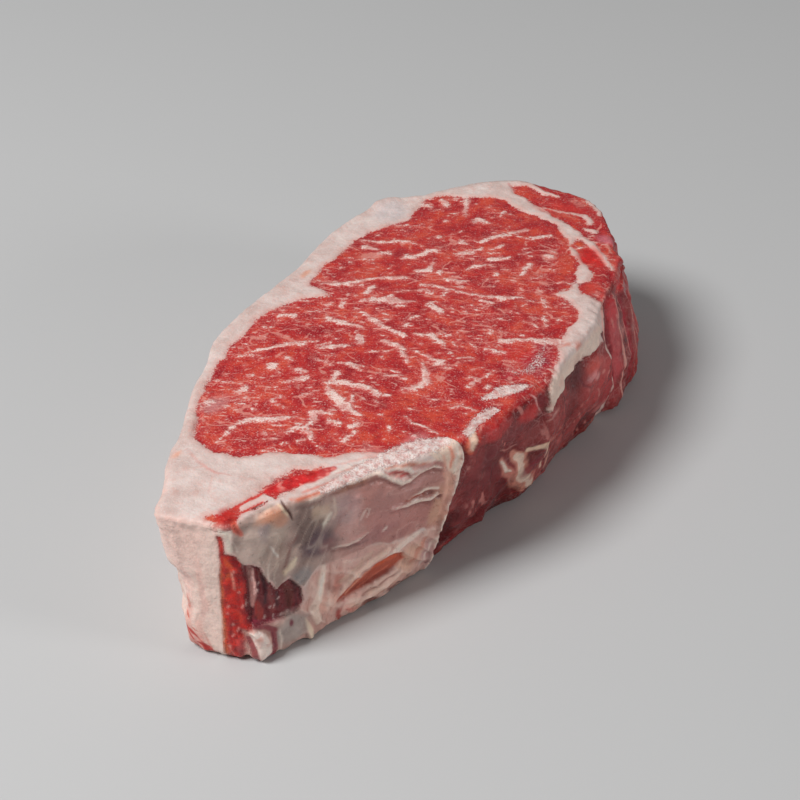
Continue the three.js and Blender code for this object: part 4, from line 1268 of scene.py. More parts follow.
def front_wall():
    """The bare muscle of the front wall, with the fat veins that cross it and the flap of rim fat."""
    past = beyond_edge(*EDGE_WALL.T)
    here = smoothstep(0, 0.8, past) * smoothstep(216, 204, WALL[:, 0]) * WALLNESS
    flap = np.minimum(area(ROUGH_WALL, RIM_FLAP), stroke(ROUGH_WALL, RIM_FLAP_TIP))
    seam = nearest_stroke(FINE_WALL, WALL_SEAMS)
    uncover_muscle(past, flap, seam)
    small = noise(POINTS, 4.2, 105)
    tiny = noise(POINTS, 1.9, 106)
    muscle_bulges(here, soft(skin.lean, 0.5) * here, small, tiny)
    across = 0.7 * small + 0.3 * tiny
    up = 0.7 * noise(POINTS, 4.2, 107) + 0.3 * noise(POINTS, 1.9, 156)
    cloudy = ROUGH_WALL + np.column_stack([across, up])
    forked_fat(cloudy)
    skin.paint(0.85 * soft(seam, 0.35), (206, 142, 132), SHADE * 1.05)
    on_flap = soft(flap, 0.4)
    skin.paint(0.92 * on_flap * WALLNESS, (206, 182, 168), RIM_LIGHT)
    pink = smoothstep(0.2, 0.8, noise(POINTS, 4, 110))
    skin.paint(0.4 * on_flap * WALLNESS * pink, (188, 140, 128), RIM_LIGHT)
    stain = soft(stroke(cloudy, RIM_STAIN), 1.0)
    skin.paint(0.7 * stain * smoothstep(-0.5, 0.2, tiny), (214, 104, 76))
    fork = stroke(cloudy, FORK_RELIEF)
    skin.rise += 0.6 * soft(fork, 1.2) + 0.8 * soft(flap, 0.6) + 0.35 * soft(seam, 0.8)
    skin.rise -= 0.5 * soft(np.abs(flap - 0.6) - 0.4, 0.5) * WALLNESS * here


# The walls that the photo hides

def fat_side():
    """The fat cap's outer side: smooth fat with pink patches and a few broken creases."""
    s, h = WALL.T
    here = smoothstep(205, 225, s) * WALLNESS * smoothstep(-0.5, 1, skin.lean)
    waves = 0.6 * noise(POINTS, 14, 111) + 0.3 * noise(POINTS, 5, 112) + 0.12 * noise(POINTS, 2, 113)
    skin.rise += here * waves
    pink = smoothstep(0.1, 0.8, noise(POINTS * [1, 1, 1.6], 16, 115))
    skin.paint(0.35 * here * pink, (206, 146, 132), BAND_LIGHT)
    creases = ridged(np.column_stack([s * 0.4, h + 0.2 * s]), 9, 118)
    broken = smoothstep(-0.3, 0.4, noise(POINTS, 12, 164))
    skin.rise -= 0.22 * here * smoothstep(0.65, 1.0, creases) * broken


def lean_side():
    """The end beyond the side muscle: lean, with thin pale sheets that run up through it."""
    s, h = WALL.T
    side = smoothstep(188, 200, s) * smoothstep(0.5, -0.5, skin.lean) * WALLNESS
    sheets = ridged(np.column_stack([s + 0.1 * h, h * 0.1]), 5.0, 116)
    threads = noise(np.column_stack([s, h * 0.12]), 1.5, 117)
    skin.rise += side * (0.6 * sheets + 0.3 * noise(POINTS, 6, 119) + 0.12 * threads)
    skin.paint(0.9 * side, (150, 40, 42), STREAK_LIGHT)
    skin.paint(0.6 * side * smoothstep(-0.1, -0.8, sheets), (92, 16, 24), STREAK_LIGHT)
    skin.paint(0.7 * side * smoothstep(0.72, 0.95, sheets), (208, 140, 128), STREAK_LIGHT)
    skin.paint(0.4 * side * smoothstep(0.2, 0.7, threads), (182, 78, 72), STREAK_LIGHT)
    skin.paint(0.3 * side * smoothstep(0.2, 0.8, noise(POINTS, 8, 120)), (176, 60, 66), STREAK_LIGHT)


def far_and_back_wall():
    """What the photo hides: the fat cap's outer side, and the end beyond the side muscle."""
    s, h = WALL.T
    middle = slice(MIDDLE_ROW * AROUND, (MIDDLE_ROW + 1) * AROUND)
    fat_column = np.tile((skin.lean[middle] > 1.2) & (s[middle] > 230), ROWS)
    low = fat_column & (np.abs(h - 3) < 6)
    skin.lean = np.where(low, np.maximum(skin.lean, 1.2), skin.lean)
    fat_side()
    lean_side()


# The rims and the cut faces, whose places are in the drawing of the upper face

def ragged_rims():
    """Small nicks and bumps along both rims, where the knife left the fat and the fibres uneven."""
    s, h = WALL.T
    upper = smoothstep(40.5, 43.5, h) * smoothstep(48.5, 46, h) * (1 - 0.65 * smoothstep(225, 238, s))
    lower = smoothstep(5, 2, h) * smoothstep(-2.5, 0, h)
    nicks = 0.34 * noise(POINTS, 3.0, 141) + 0.22 * noise(POINTS, 1.5, 142)
    skin.rise += upper * nicks + 1.4 * lower * nicks
    skin.rise += 0.45 * np.exp(-(((h - 45.1) / 0.8) ** 2))
    skin.rise += 1.0 * soft(blob(DRAWN, 65.6, 45.4, 4.5, 4.5), 2.5) * smoothstep(30, 44, h)


ROUGH_FACE = ragged(DRAWN, 0.6, 0.4, 131)
FINE_FACE = ragged(DRAWN, 0.35, 0.25, 135)
UPPER_FACE = UPNESS * (POINTS[:, 2] > TOP / 2)
SIDE_FAT = [
    [(87.2, 0, 0.6), (87.8, -7, 1.0), (89.6, -13.5, 1.6), (87.4, -16.6, 3.0)],
    [(83.2, -20, 2.2), (83, -17.4, 1.6)],
    [(93.5, 17, 2.0), (98.5, 10.4, 2.4), (95.8, 4, 2.2), (96.4, -1, 1.6)],
    [(99, -10.8, 1.6), (96, -14.6, 1.8), (92.6, -17.6, 1.4)],
    [(77.5, -18.4, 2.2), (75.6, -22.4, 2.6), (72.2, -27.1, 2.0), (68.4, -31.4, 1.6), (66, -34.4, 1.2)],
]
SEAM_LEAN = [
    [
        (76, -17.6), (74.6, -21.6), (71, -26.4), (65.4, -32.2), (60.2, -30.4), (64, -25.8), (68.4, -21),
        (70.6, -17.4),
    ],
    [(52.6, -29.2), (55.2, -31.6), (53.8, -34.4), (51.2, -35.6), (49, -34.2), (47.8, -32), (49.8, -30.4)],
]
TAIL_LEAN = [
    (-94.8, 5.2), (-91.5, 1.8), (-87.2, 0.6), (-86.6, -0.8), (-88.4, -2.4), (-91.5, -3), (-94.5, -3.5),
    (-95.2, -0.5),
]
TAIL_LEAN_THREADS = [
    [(-87, 0.2, 0.9), (-84.5, -0.6, 0.5), (-82, -1.6, 0.9), (-80, -2.4, 0.5)],
    [(-88, -2.6, 0.6), (-85, -3.8, 0.8), (-82.6, -4.8, 0.5)],
]


def lean_on_face():
    """Corrects where the upper face is lean, at the broad end, in the seam there and by the tail tip."""
    upper = UPPER_FACE > 0.5
    skin.lean = np.where(upper, np.maximum(skin.lean, -nearest_stroke(ROUGH_FACE, SIDE_FAT)), skin.lean)
    in_seam = np.minimum(*[area(ROUGH_FACE, corners) for corners in SEAM_LEAN])
    skin.lean = np.where(upper, np.minimum(skin.lean, in_seam), skin.lean)
    at_tail = np.minimum(area(FINE_FACE, TAIL_LEAN), nearest_stroke(FINE_FACE, TAIL_LEAN_THREADS))
    skin.lean = np.where(upper & (DRAWN[:, 0] < -79.5), at_tail, skin.lean)


def relief_on_faces():
    """Low bumps on the cut faces: sunk lean, raised veins and a fine groove along the border."""
    lean = soft(skin.lean, 1.0)
    bumps = 0.3 * noise(POINTS, 13, 121) + 0.14 * noise(POINTS, 4.5, 122) + 0.08 * noise(POINTS, 2.1, 123)
    skin.rise += UPNESS * bumps
    skin.rise += UPNESS * lean * (-0.35 + 0.16 * soft(skin.vein, 0.5) + 0.07 * noise(POINTS, 1.3, 124))
    skin.rise -= UPNESS * 0.2 * np.exp(-((skin.lean / 0.6) ** 2))


FACE_PATCHES = [
    (-42, -26, 6, 3, (214, 150, 150), 0.5),
    (-50, -20, 3, 5, (222, 150, 142), 0.4),
    (16, 43.5, 2.6, 0.9, (222, 150, 120), 0.7),
    (-77, 26, 1.6, 1.2, (224, 158, 130), 0.7),
    (61, 40.5, 6.5, 5, (206, 192, 190), 0.8),
    (-91, 0.4, 3, 2.4, (190, 40, 36), 0.7),
    (-92.6, -1.6, 1.4, 1, (130, 16, 18), 0.7),
    (-93.8, 3.6, 1.6, 0.8, (206, 96, 70), 0.6),
    (10.5, -31, 4, 5.5, (196, 30, 34), 0.45),
    (-52.5, 30, 4.5, 3, (206, 158, 154), 0.4),
    (69, -25, 4.5, 3.6, (200, 36, 34), 0.85),
    (66, -29, 3, 2.4, (206, 44, 38), 0.7),
    (73.5, -19.4, 1.4, 1.4, (216, 84, 52), 0.8),
    (91, -6, 2.6, 6, (208, 56, 50), 0.5),
    (86, -4, 2, 6, (206, 90, 78), 0.4),
    (80.6, -25.6, 2.6, 3.4, (196, 112, 124), 0.7),
    (53, -34, 2.4, 3, (206, 70, 58), 0.6),
    (96, -8, 1.4, 3, (206, 130, 120), 0.5),
]
FACE_STREAKS = [
    (0.6, (214, 136, 126), [(-74, 25, 0.3), (-77, 19, 0.6), (-78.6, 12, 0.7), (-77.6, 8, 0.3)]),
    (0.45, (224, 172, 162), [(-76.6, 6, 0.3), (-76, 2, 0.5)]),
    (0.4, (222, 170, 160), [(-80, 12, 0.4), (-86, 9, 0.6)]),
    (0.6, (200, 110, 108), [(94, 16, 0.6), (91.5, 12, 0.8)]),
    (0.5, (226, 160, 150), [(-60, -13, 0.6), (-54, -18, 0.8), (-48, -24, 0.6)]),
    (0.6, (232, 216, 206), [(-70, -12, 0.6), (-64, -14, 1.2), (-58, -16.5, 0.8)]),
    (0.5, (206, 110, 90), [(-63, -15.4, 0.4), (-57, -18.6, 0.7), (-52, -21, 0.4)]),
    (0.6, (228, 150, 140), [(74.4, -24, 0.8), (70.6, -28.4, 0.8), (67, -32, 0.6)]),
]
TAIL_THREADS = [
    (0.85, (200, 56, 48), [(-87.4, 0.1, 1.1), (-84.5, -0.6, 0.8), (-82, -1.6, 1.1), (-79.6, -2.5, 0.7)]),
    (0.85, (204, 64, 54), [(-88.4, -2.5, 0.8), (-85, -3.8, 1), (-82.4, -4.9, 0.7)]),
]
TAIL_STRIP = [(-78, -3.6, 1.8), (-70, -8.2, 4.4), (-64, -12, 4), (-61.4, -13.4, 1.6)]


def stains_on_face():
    """The stains and streaks in the fat of the upper face, and the strip of lean towards the tail."""
    ovals(ROUGH_FACE, FACE_PATCHES, within=UPPER_FACE)
    lines(FINE_FACE, FACE_STREAKS, within=UPPER_FACE)
    lines(FINE_FACE, TAIL_THREADS, within=UPPER_FACE)
    strip = soft(stroke(FINE_FACE, TAIL_STRIP), 0.5) * UPPER_FACE
    dots = noise(POINTS, 1.2, 151)
    skin.paint(0.9 * strip, (204, 40, 42))
    skin.paint(0.5 * strip * smoothstep(-0.1, -0.6, noise(POINTS, 2.4, 152)), (156, 18, 24))
    skin.paint(0.75 * strip * smoothstep(0.2, 0.55, dots), (234, 142, 132))


RIM_FROTH = [
    (-72, -14), (-62, -16.5), (-54, -19), (-47.5, -20.5), (-42, -23), (-36.5, -27.5), (-33, -32),
    (-36, -34.6), (-44, -31), (-51, -26.4), (-57, -23.2), (-66, -18.9), (-72, -16),
]
RIM_FROTH_STROKES = [
    [(-29.4, -36, 3.0), (-26, -35.6, 3.6), (-20.5, -35.8, 4.6), (-15.6, -37, 3.4)],
    [(-12.3, -32.4, 2.6), (-7.7, -35, 5.4), (-4, -38, 4.6), (-1.4, -39.6, 3.0)],
]
CRYSTALS = [(-1, -33.4, 1), (4.6, -36.4, 5), (11, -37.4, 6), (17, -36, 3)]
GRISTLE = [
    (0.9, (224, 190, 168), [(95.8, 46, 2.2), (94.1, 43.4, 2.8), (93.4, 41.6, 1.4)]),
    (0.7, (206, 84, 56), [(93.2, 44.6, 0.8), (92.6, 42.4, 1), (93.6, 40.6, 1.2)]),
    (0.7, (190, 60, 48), [(97, 44.4, 0.7), (96, 42.4, 0.8)]),
]


def froth_on_rim():
    """The rough whitish grain and the pieces of gristle along the front rim."""
    near_rim = smoothstep(43, 45.5, WALL[:, 1])
    front = np.minimum(area(ROUGH_FACE, RIM_FROTH), nearest_stroke(ROUGH_FACE, RIM_FROTH_STROKES))
    skin.froth = np.clip(soft(front + 0.4, 2.4) * near_rim, 0, 1)
    scattered = smoothstep(-24, -31, DRAWN[:, 1]) * soft(np.abs(DRAWN[:, 0] + 18) - 34, 8)
    skin.froth = np.maximum(skin.froth, 0.24 * scattered * UPPER_FACE * soft(skin.lean, 1.0))
    crystals = soft(stroke(ROUGH_FACE, CRYSTALS), 3.0)
    skin.froth = np.maximum(skin.froth, 0.52 * crystals * near_rim)
    skin.paint(0.35 * crystals * UPPER_FACE, (150, 60, 84))
    skin.rise += skin.froth * (0.3 + 0.25 * noise(POINTS, 1.6, 136))
    lines(ROUGH_WALL, GRISTLE, RIM_LIGHT)


# Later paint covers earlier paint, so the order matters
tail_end()
tail_membrane()
scrap_of_fat()
front_wall()
far_and_back_wall()
ragged_rims()
lean_on_face()
relief_on_faces()
stains_on_face()
froth_on_rim()


# The mesh

UNDERSIDE = 0.5  # below this height a place belongs to the underside
UNDERSIDE_RELIEF = 0.6  # how far the relief may lift it off the floor
STAND_OUT = 3.0  # how far a cutter stands out of the skin where its muscle shows
COVERED = 3.0  # a face with the next solid nearer than this doesn't show
RAY_LEAD = 0.01  # how far off its face a ray starts
HOLD = 0.03  # how strongly a cutter's corner stays in place where no face pushes it
PUSH_LIMIT = 1.8  # the furthest that a corner moves, against STAND_OUT
SKIN_STEP = 1.0  # a cut point this near a point of the skin lies on the skin
FACING = 0.2  # how well a face has to agree with the skin's normal to be shaded with it


def grid_faces():
    column = np.arange(AROUND)
    after = (column + 1) % AROUND
    faces = []
    for row in range(ROWS - 1):
        a, b = row * AROUND + column, row * AROUND + after
        faces.append(np.stack([a, a + AROUND, b + AROUND, b], 1))
    return np.concatenate(faces)


def slit_faces(row, points, up):
    """Closes the narrow slit that a ring leaves along the spine, with triangles between its two sides."""
    ids = row * AROUND + np.arange(AROUND)
    x = points[ids, 0]
    left, right = int(np.argmin(x)), int(np.argmax(x))
    span = (right - left) % AROUND
    front = [ids[(left + k) % AROUND] for k in range(span + 1)]
    back = [ids[(left - k) % AROUND] for k in range(AROUND - span + 1)]
    faces = []
    i = j = 0
    while i + 1 < len(front) or j + 1 < len(back):
        advance_front = j + 1 >= len(back) or (
            i + 1 < len(front) and points[front[i + 1], 0] <= points[back[j + 1], 0]
        )
        if advance_front:
            face = (front[i], front[i + 1], back[j])
            i += 1
        else:
            face = (front[i], back[j + 1], back[j])
            j += 1
        if len(set(face)) == 3:
            faces.append(face if up else face[::-1])
    return faces


def mesh_of(name, points, faces):
    mesh = bpy.data.meshes.new(name)
    mesh.from_pydata(points.tolist(), [], faces)
    mesh.update()
    mesh.shade_smooth()
    return mesh


def object_of(name, data):
    obj = bpy.data.objects.new(name, data)
    bpy.context.scene.collection.objects.link(obj)
    return obj


def skin_mesh():
    """The whole steak's surface, closed, with its relief."""
    points = POINTS + NORMALS * skin.rise[:, None] + skin.shift
    low = WALL[:, 1] < UNDERSIDE
    points[low, 2] = np.minimum(points[low, 2], UNDERSIDE_RELIEF)
    points[:, 2] = np.maximum(points[:, 2], 0)
    slits = slit_faces(0, points, True) + slit_faces(ROWS - 1, points, False)
    return mesh_of("skin", points, grid_faces().tolist() + slits)


SKIN = skin_mesh()
SKIN_PLACES = np.array([v.co for v in SKIN.vertices])
SKIN_NORMALS = np.array([v.vector for v in SKIN.vertex_normals])


def solid_of(name):
    """A node's corners in millimetres, each once, and its triangles."""
    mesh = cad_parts[name].data
    corners = np.array([v.co for v in mesh.vertices]) / MM
    points, index = np.unique(np.round(corners, 4), axis=0, return_inverse=True)
    index = index.ravel()
    faces = np.array([[index[i] for i in p.vertices] for p in mesh.polygons])
    different = (faces[:, 0] != faces[:, 1]) & (faces[:, 1] != faces[:, 2]) & (faces[:, 2] != faces[:, 0])
    return points, faces[different]


def cutter_mesh(name):
    """A muscle's solid, pushed out through the skin wherever it shows, so that it can cut the skin."""
    points, faces = solid_of(name)
    a, b, c = points[faces[:, 0]], points[faces[:, 1]], points[faces[:, 2]]
    normals = np.cross(b - a, c - a)
    normals /= np.linalg.norm(normals, axis=1, keepdims=True) + 1e-9
    gap = reach((a + b + c) / 3 + normals * RAY_LEAD, normals)
    push = np.where(np.isnan(gap) | (gap > COVERED), STAND_OUT, 0.0)
    pull = np.tile(np.eye(3) * HOLD, (len(points), 1, 1))
    want = np.zeros((len(points), 3))
    for k in range(3):
        np.add.at(pull, faces[:, k], normals[:, :, None] * normals[:, None, :])
        np.add.at(want, faces[:, k], normals * push[:, None])
    moved = np.linalg.solve(pull, want[:, :, None])[:, :, 0]
    length = np.linalg.norm(moved, axis=1, keepdims=True)
    moved *= np.minimum(1, PUSH_LIMIT * STAND_OUT / np.maximum(length, 1e-6))
    return mesh_of("cutter", points + moved, faces.tolist())


CUTTERS = {muscle: object_of("cutter_" + muscle, cutter_mesh(muscle)) for muscle in MUSCLES}


def cut(operation, muscles):
    """The steak's solid, cut with the muscles' cutters."""
    obj = object_of("cut", SKIN.copy())
    for name in muscles:
        modifier = obj.modifiers.new("cut", "BOOLEAN")
        modifier.operation = operation
        modifier.solver = "MANIFOLD"
        modifier.object = CUTTERS[name]
    cut_obj = obj.evaluated_get(bpy.context.evaluated_depsgraph_get())
    mesh = bpy.data.meshes.new_from_object(cut_obj)
    bpy.data.objects.remove(obj)
    return mesh


def nearest_skin(places):
    """For each place the skin's nearest point, as its number and how far off it is."""
    tree = KDTree(len(SKIN_PLACES))
    for i, place in enumerate(SKIN_PLACES):
        tree.insert(place, i)
    tree.balance()
    found = [tree.find(place)[1:] for place in places]
    return np.array([f[0] for f in found]), np.array([f[1] for f in found])


def write_attributes(mesh, near_point):
    """Gives each point of a piece what the nearest point of the skin carries."""
    values_of = {
        "lean": skin.lean,
        "vein": skin.vein,
        "wall": WALLNESS,
        "wet": skin.wet,
        "froth": skin.froth,
        "cover": skin.cover,
    }
    for attribute, values in values_of.items():
        layer = mesh.attributes.new(attribute, "FLOAT", "POINT")
        layer.data.foreach_set("value", values[near_point].astype(np.float32))
    vectors = mesh.attributes.new("painted", "FLOAT_VECTOR", "POINT")
    vectors.data.foreach_set("vector", skin.colour[near_point].astype(np.float32).ravel())


def shade(mesh, near_point, on_skin):
    """Shades the faces on the skin with the skin's normals, and those inside the steak flat."""
    smooth = SKIN_NORMALS[near_point]
    loop_normals = []
    for polygon in mesh.polygons:
        face = list(polygon.vertices)
        flat = polygon.normal
        facing = float(np.dot(smooth[face[0]], flat))
        is_skin = on_skin[face].all() and facing > FACING
        loop_normals += [smooth[i] if is_skin else flat for i in face]
    mesh.normals_split_custom_set(loop_normals)


def build_piece(name, node, cut_mesh):
    """One closed piece that takes the place of one node, with the skin's paint and normals."""
    places = np.array([v.co for v in cut_mesh.vertices])
    near_point, off = nearest_skin(places)
    mesh = mesh_of(name, places * MM, [list(p.vertices) for p in cut_mesh.polygons])
    write_attributes(mesh, near_point)
    shade(mesh, near_point, off < SKIN_STEP)
    obj = object_of(name, mesh)
    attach(obj, "root")
    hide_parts(node)
    return obj


pieces = [
    build_piece("eye_meat", "eye_muscle", cut("INTERSECT", ["eye_muscle"])),
    build_piece("side_meat", "side_muscle", cut("INTERSECT", ["side_muscle"])),
    build_piece("tail_meat", "tail_muscle", cut("INTERSECT", ["tail_muscle"])),
    build_piece("cap_fat", "fat_cap", cut("DIFFERENCE", MUSCLES)),
]
for cutter in CUTTERS.values():
    bpy.data.objects.remove(cutter)


# Materials

GRAIN = math.radians(-66)  # the way that the marbling runs in the cut face
GRAIN_LENGTH = 2.4  # how much longer than wide the flecks are along it

# Stops of the colour ramps
FACE_LEAN = [(0.34, (0.33, 0.01, 0.018)), (0.5, (0.48, 0.026, 0.026)), (0.64, (0.6, 0.066, 0.038))]
WALL_LEAN = [(0.34, (0.1, 0.003, 0.006)), (0.5, (0.22, 0.01, 0.013)), (0.66, (0.4, 0.045, 0.042))]
VEIN_FAT = [(0.34, (0.67, 0.32, 0.27)), (0.46, (0.78, 0.49, 0.43)), (0.58, (0.88, 0.7, 0.65))]
CAP_FAT = [(0.32, (0.59, 0.426, 0.383)), (0.5, (0.684, 0.527, 0.484)), (0.66, (0.75, 0.617, 0.573))]
FROTH_FAT = [(0.38, (0.6, 0.3, 0.28)), (0.48, (0.74, 0.52, 0.48)), (0.58, (0.84, 0.72, 0.68))]

# The fine nets of fat on the cut faces: scale, where they begin, thickness and share
FINE_WEBS = [(0.14, 0.47, 0.034, 0.6), (0.42, 0.54, 0.04, 0.2)]
NOISE_SPAN = (0.3, 0.7)  # nearly all of a noise texture's values lie between these
BUMP_HEIGHT = 0.0005  # metres

DARK_FIBRES = (0.27, 0.009, 0.013, 1)
FINE_WEB = (0.76, 0.33, 0.27, 1)
THREADS = (0.72, 0.2, 0.17, 1)
TINY_DOTS = (0.74, 0.2, 0.16, 1)
DOTS = (0.76, 0.28, 0.24, 1)
SPECKS = (0.78, 0.46, 0.4, 1)
# tiny pale specks painted into the colour as glints of light
PAINTED_GLINTS = (0.86, 0.6, 0.55, 1)
WALL_WEB = (0.56, 0.25, 0.23, 1)
VEIN_HALO = (0.66, 0.18, 0.15, 1)
PINK_FAT = (0.68, 0.34, 0.28, 1)
PALE_FAT = (0.84, 0.75, 0.71, 1)
BORDER_FAT = (0.7, 0.33, 0.28, 1)


class Graph:
    """Short ways to add shader nodes."""

    def __init__(self, name):
        self.material = bpy.data.materials.new(name)
        self.material.use_nodes = True
        self.tree = self.material.node_tree
        self.shader = self.tree.nodes["Principled BSDF"]

    def put(self, socket, value):
        if isinstance(value, bpy.types.NodeSocket):
            self.tree.links.new(value, socket)
        else:
            socket.default_value = value

    def add(self, kind, inputs=None, out=0, **settings):
        node = self.tree.nodes.new(kind)
        for key, value in settings.items():
            setattr(node, key, value)
        for key, value in (inputs or {}).items():
            self.put(node.inputs[key], value)
        return node.outputs[out]

    def math(self, operation, a, b):
        return self.add("ShaderNodeMath", {0: a, 1: b}, operation=operation)

    def plus(self, a, b):
        return self.math("ADD", a, b)

    def times(self, a, b):
        return self.math("MULTIPLY", a, b)

    def vectors(self, operation, a, b):
        return self.add("ShaderNodeVectorMath", {0: a, 1: b}, operation=operation)

    def scaled(self, vector, scale):
        return self.add("ShaderNodeVectorMath", {0: vector, 3: scale}, operation="SCALE")

    def noise(self, vector, scale, detail=2.0, roughness=0.5, out=0):
        inputs = {"Vector": vector, "Scale": scale, "Detail": detail, "Roughness": roughness}
        return self.add("ShaderNodeTexNoise", inputs, out)

    def cell_edge(self, vector, scale):
        """Distance to the walls between the cells of a random net."""
        inputs = {"Vector": vector, "Scale": scale, "Randomness": 1.0}
        return self.add("ShaderNodeTexVoronoi", inputs, feature="DISTANCE_TO_EDGE")

    def bent(self, vector, scale, detail, amount):
        """Coloured noise as a shift, so that a pattern's lines come out bent."""
        return self.vectors("MULTIPLY", self.noise(vector, scale, detail, 0.5, 1), amount)

    def between(self, value, low, high, to_low=0.0, to_high=1.0):
        inputs = {"Value": value, "From Min": low, "From Max": high, "To Min": to_low, "To Max": to_high}
        return self.add("ShaderNodeMapRange", inputs, interpolation_type="SMOOTHSTEP")

    def mix(self, share, a, b):
        node = self.tree.nodes.new("ShaderNodeMix")
        node.data_type = "RGBA"
        sockets = [s for s in node.inputs if s.enabled]
        for socket, value in zip(sockets, (share, a, b)):
            self.put(socket, value)
        return next(s for s in node.outputs if s.enabled)

    def blend(self, share, a, b):
        """The same for two numbers."""
        return self.add("ShaderNodeMix", {"Factor": share, "A": a, "B": b})

    def ramp(self, value, stops):
        node = self.tree.nodes.new("ShaderNodeValToRGB")
        self.put(node.inputs[0], value)
        elements = node.color_ramp.elements
        while len(elements) < len(stops):
            elements.new(0.5)
        for element, (place, colour) in zip(elements, stops):
            element.position = place
            element.color = (*colour, 1)
        return node.outputs[0]

    def attribute(self, name, out=2):
        return self.add("ShaderNodeAttribute", {}, out, attribute_name=name)

    def settings(self, **values):
        """Sets the shader's inputs, whose names have spaces where these have low lines."""
        for name, value in values.items():
            self.shader.inputs[name.replace("_", " ")].default_value = value


class Meat(Graph):
    """The one material of all pieces. Their attributes say what shows at each point."""

    def __init__(self):
        super().__init__("meat")
        place = self.add("ShaderNodeTexCoord", {}, 3)
        self.mm = self.vectors("MULTIPLY", place, (1000, 1000, 1000))
        self.fibre = self.vectors("MULTIPLY", self.mm, (1, 1, FIBRE_SQUEEZE))
        along = {"Vector": self.fibre, "Rotation": (0, 0, GRAIN), "Scale": (GRAIN_LENGTH, 1, 1)}
        self.turned = self.add("ShaderNodeMapping", along, vector_type="TEXTURE")
        self.wall = self.attribute("wall")
        self.wet = self.attribute("wet")
        self.middle = self.noise(self.turned, 0.9, 3, 0.55)
        self.grain = self.noise(self.mm, 1.9, 2, 0.5)
        self.tiny = self.noise(self.mm, 3.2, 1, 0.5)
        self.even = self.noise(self.mm, 0.4, 4, 0.55)
        self.density = self.between(self.noise(self.fibre, 0.07, 2), 0.38, 0.62, -0.05, 0.05)
        self.grains = self.plus(self.times(self.tiny, 0.5), self.times(self.grain, 0.5))

    def spread(self, texture, low, high):
        """A noise texture's values, stretched from one number to another."""
        return self.between(texture, *NOISE_SPAN, low, high)

    def by_wet(self, dry, wet):
        return self.between(self.wet, 0, 1, dry, wet)

    def by_fat(self, lean, fat):
        return self.between(self.fat_share, 0, 1, lean, fat)

    def by_wall(self, on_face, on_wall):
        """A number that differs between the cut faces and the wall."""
        return self.between(self.wall, 0, 1, on_face, on_wall)

    def bare_lean(self):
        """Lean, bright on the cut faces and darker on the wall, with dark fibres."""
        face = self.ramp(self.noise(self.fibre, 0.16, 4, 0.6), FACE_LEAN)
        wall = self.ramp(self.noise(self.mm, 0.11, 4, 0.55), WALL_LEAN)
        meat = self.mix(self.wall, face, wall)
        return self.mix(self.between(self.middle, 0.5, 0.3, 0.0, 0.55), meat, DARK_FIBRES)

    def fine_web(self, meat):
        """Two nets of thin fat lines on the cut faces."""
        bent = self.vectors("ADD", self.turned, self.bent(self.fibre, 0.12, 2, (7, 7, 0)))
        on_face = self.math("SUBTRACT", 1.0, self.wall)
        for scale, begin, thickness, share in FINE_WEBS:
            line = self.between(self.cell_edge(bent, scale), thickness, thickness * 0.25)
            patches = self.plus(self.noise(self.fibre, scale * 1.6, 3), self.density)
            whole = self.between(patches, begin, begin + 0.1)
            line = self.times(self.times(line, whole), self.times(on_face, share))
            meat = self.mix(line, meat, FINE_WEB)
        return meat

    def flecks(self, meat):
        """Threads, dots and specks of fat, from the finest to the coarsest, and last tiny pale specks
        painted as glints of light.
        """
        threads = self.between(self.plus(self.noise(self.turned, 1.7, 2, 0.6), self.density), 0.58, 0.7)
        meat = self.mix(self.times(threads, self.by_wall(0.28, 0.12)), meat, THREADS)
        meat = self.mix(self.between(self.tiny, 0.54, 0.7, 0.0, 0.28), meat, TINY_DOTS)
        dots = self.between(self.plus(self.grain, self.density), 0.6, 0.72)
        meat = self.mix(self.times(dots, self.by_wall(0.47, 0.15)), meat, DOTS)
        specks = self.between(self.plus(self.middle, self.density), 0.62, 0.72)
        meat = self.mix(self.times(specks, self.by_wall(0.75, 0.1)), meat, SPECKS)
        # tiny pale specks painted as glints of light on the surface
        painted_glints = self.between(self.noise(self.mm, 2.3, 0), 0.68, 0.76)
        return self.mix(self.times(painted_glints, self.by_wall(0.34, 0.2)), meat, PAINTED_GLINTS)

    def wall_web(self, meat):
        """A net of thin tissue on the wall."""
        place = self.vectors("ADD", self.mm, self.bent(self.mm, 0.25, 3, (5, 5, 5)))
        web = self.between(self.cell_edge(place, 0.3), 0.1, 0.0)
        web = self.times(web, self.between(self.noise(self.mm, 0.13, 2), 0.42, 0.58, 0.0, 0.6))
        return self.mix(self.times(web, self.wall), meat, WALL_WEB)

    def veins(self, meat):
        """The drawn veins, with frayed edges and a pink halo."""
        frayed = self.plus(self.spread(self.middle, 0.55, -0.4), self.spread(self.grain, 0.3, -0.3))
        uneven = self.plus(self.attribute("vein"), frayed)
        meat = self.mix(self.between(uneven, 1.3, 0.0, 0.0, 0.5), meat, VEIN_HALO)
        faint = self.between(self.noise(self.fibre, 0.33, 2), 0.38, 0.54, 0.5, 1.0)
        self.vein_share = self.times(self.between(uneven, 0.4, -0.4), faint)
        return self.mix(self.vein_share, meat, self.ramp(self.grains, VEIN_FAT))

    def lean_and_fat(self, meat):
        """Lean where the attribute says so and fat elsewhere, pinker along the border."""
        fat = self.ramp(self.noise(self.mm, 0.13, 5, 0.62), CAP_FAT)
        fat = self.mix(self.between(self.even, 0.54, 0.7, 0.0, 0.28), fat, PINK_FAT)
        fat = self.mix(self.between(self.grain, 0.55, 0.7, 0.0, 0.3), fat, PALE_FAT)
        border = self.plus(self.attribute("lean"), self.spread(self.grain, 0.35, -0.35))
        self.fat_share = self.between(border, -0.35, 0.3)
        fat = self.mix(self.between(border, 2.2, 0.0, 0.0, 0.4), fat, BORDER_FAT)
        return self.mix(self.fat_share, meat, fat)

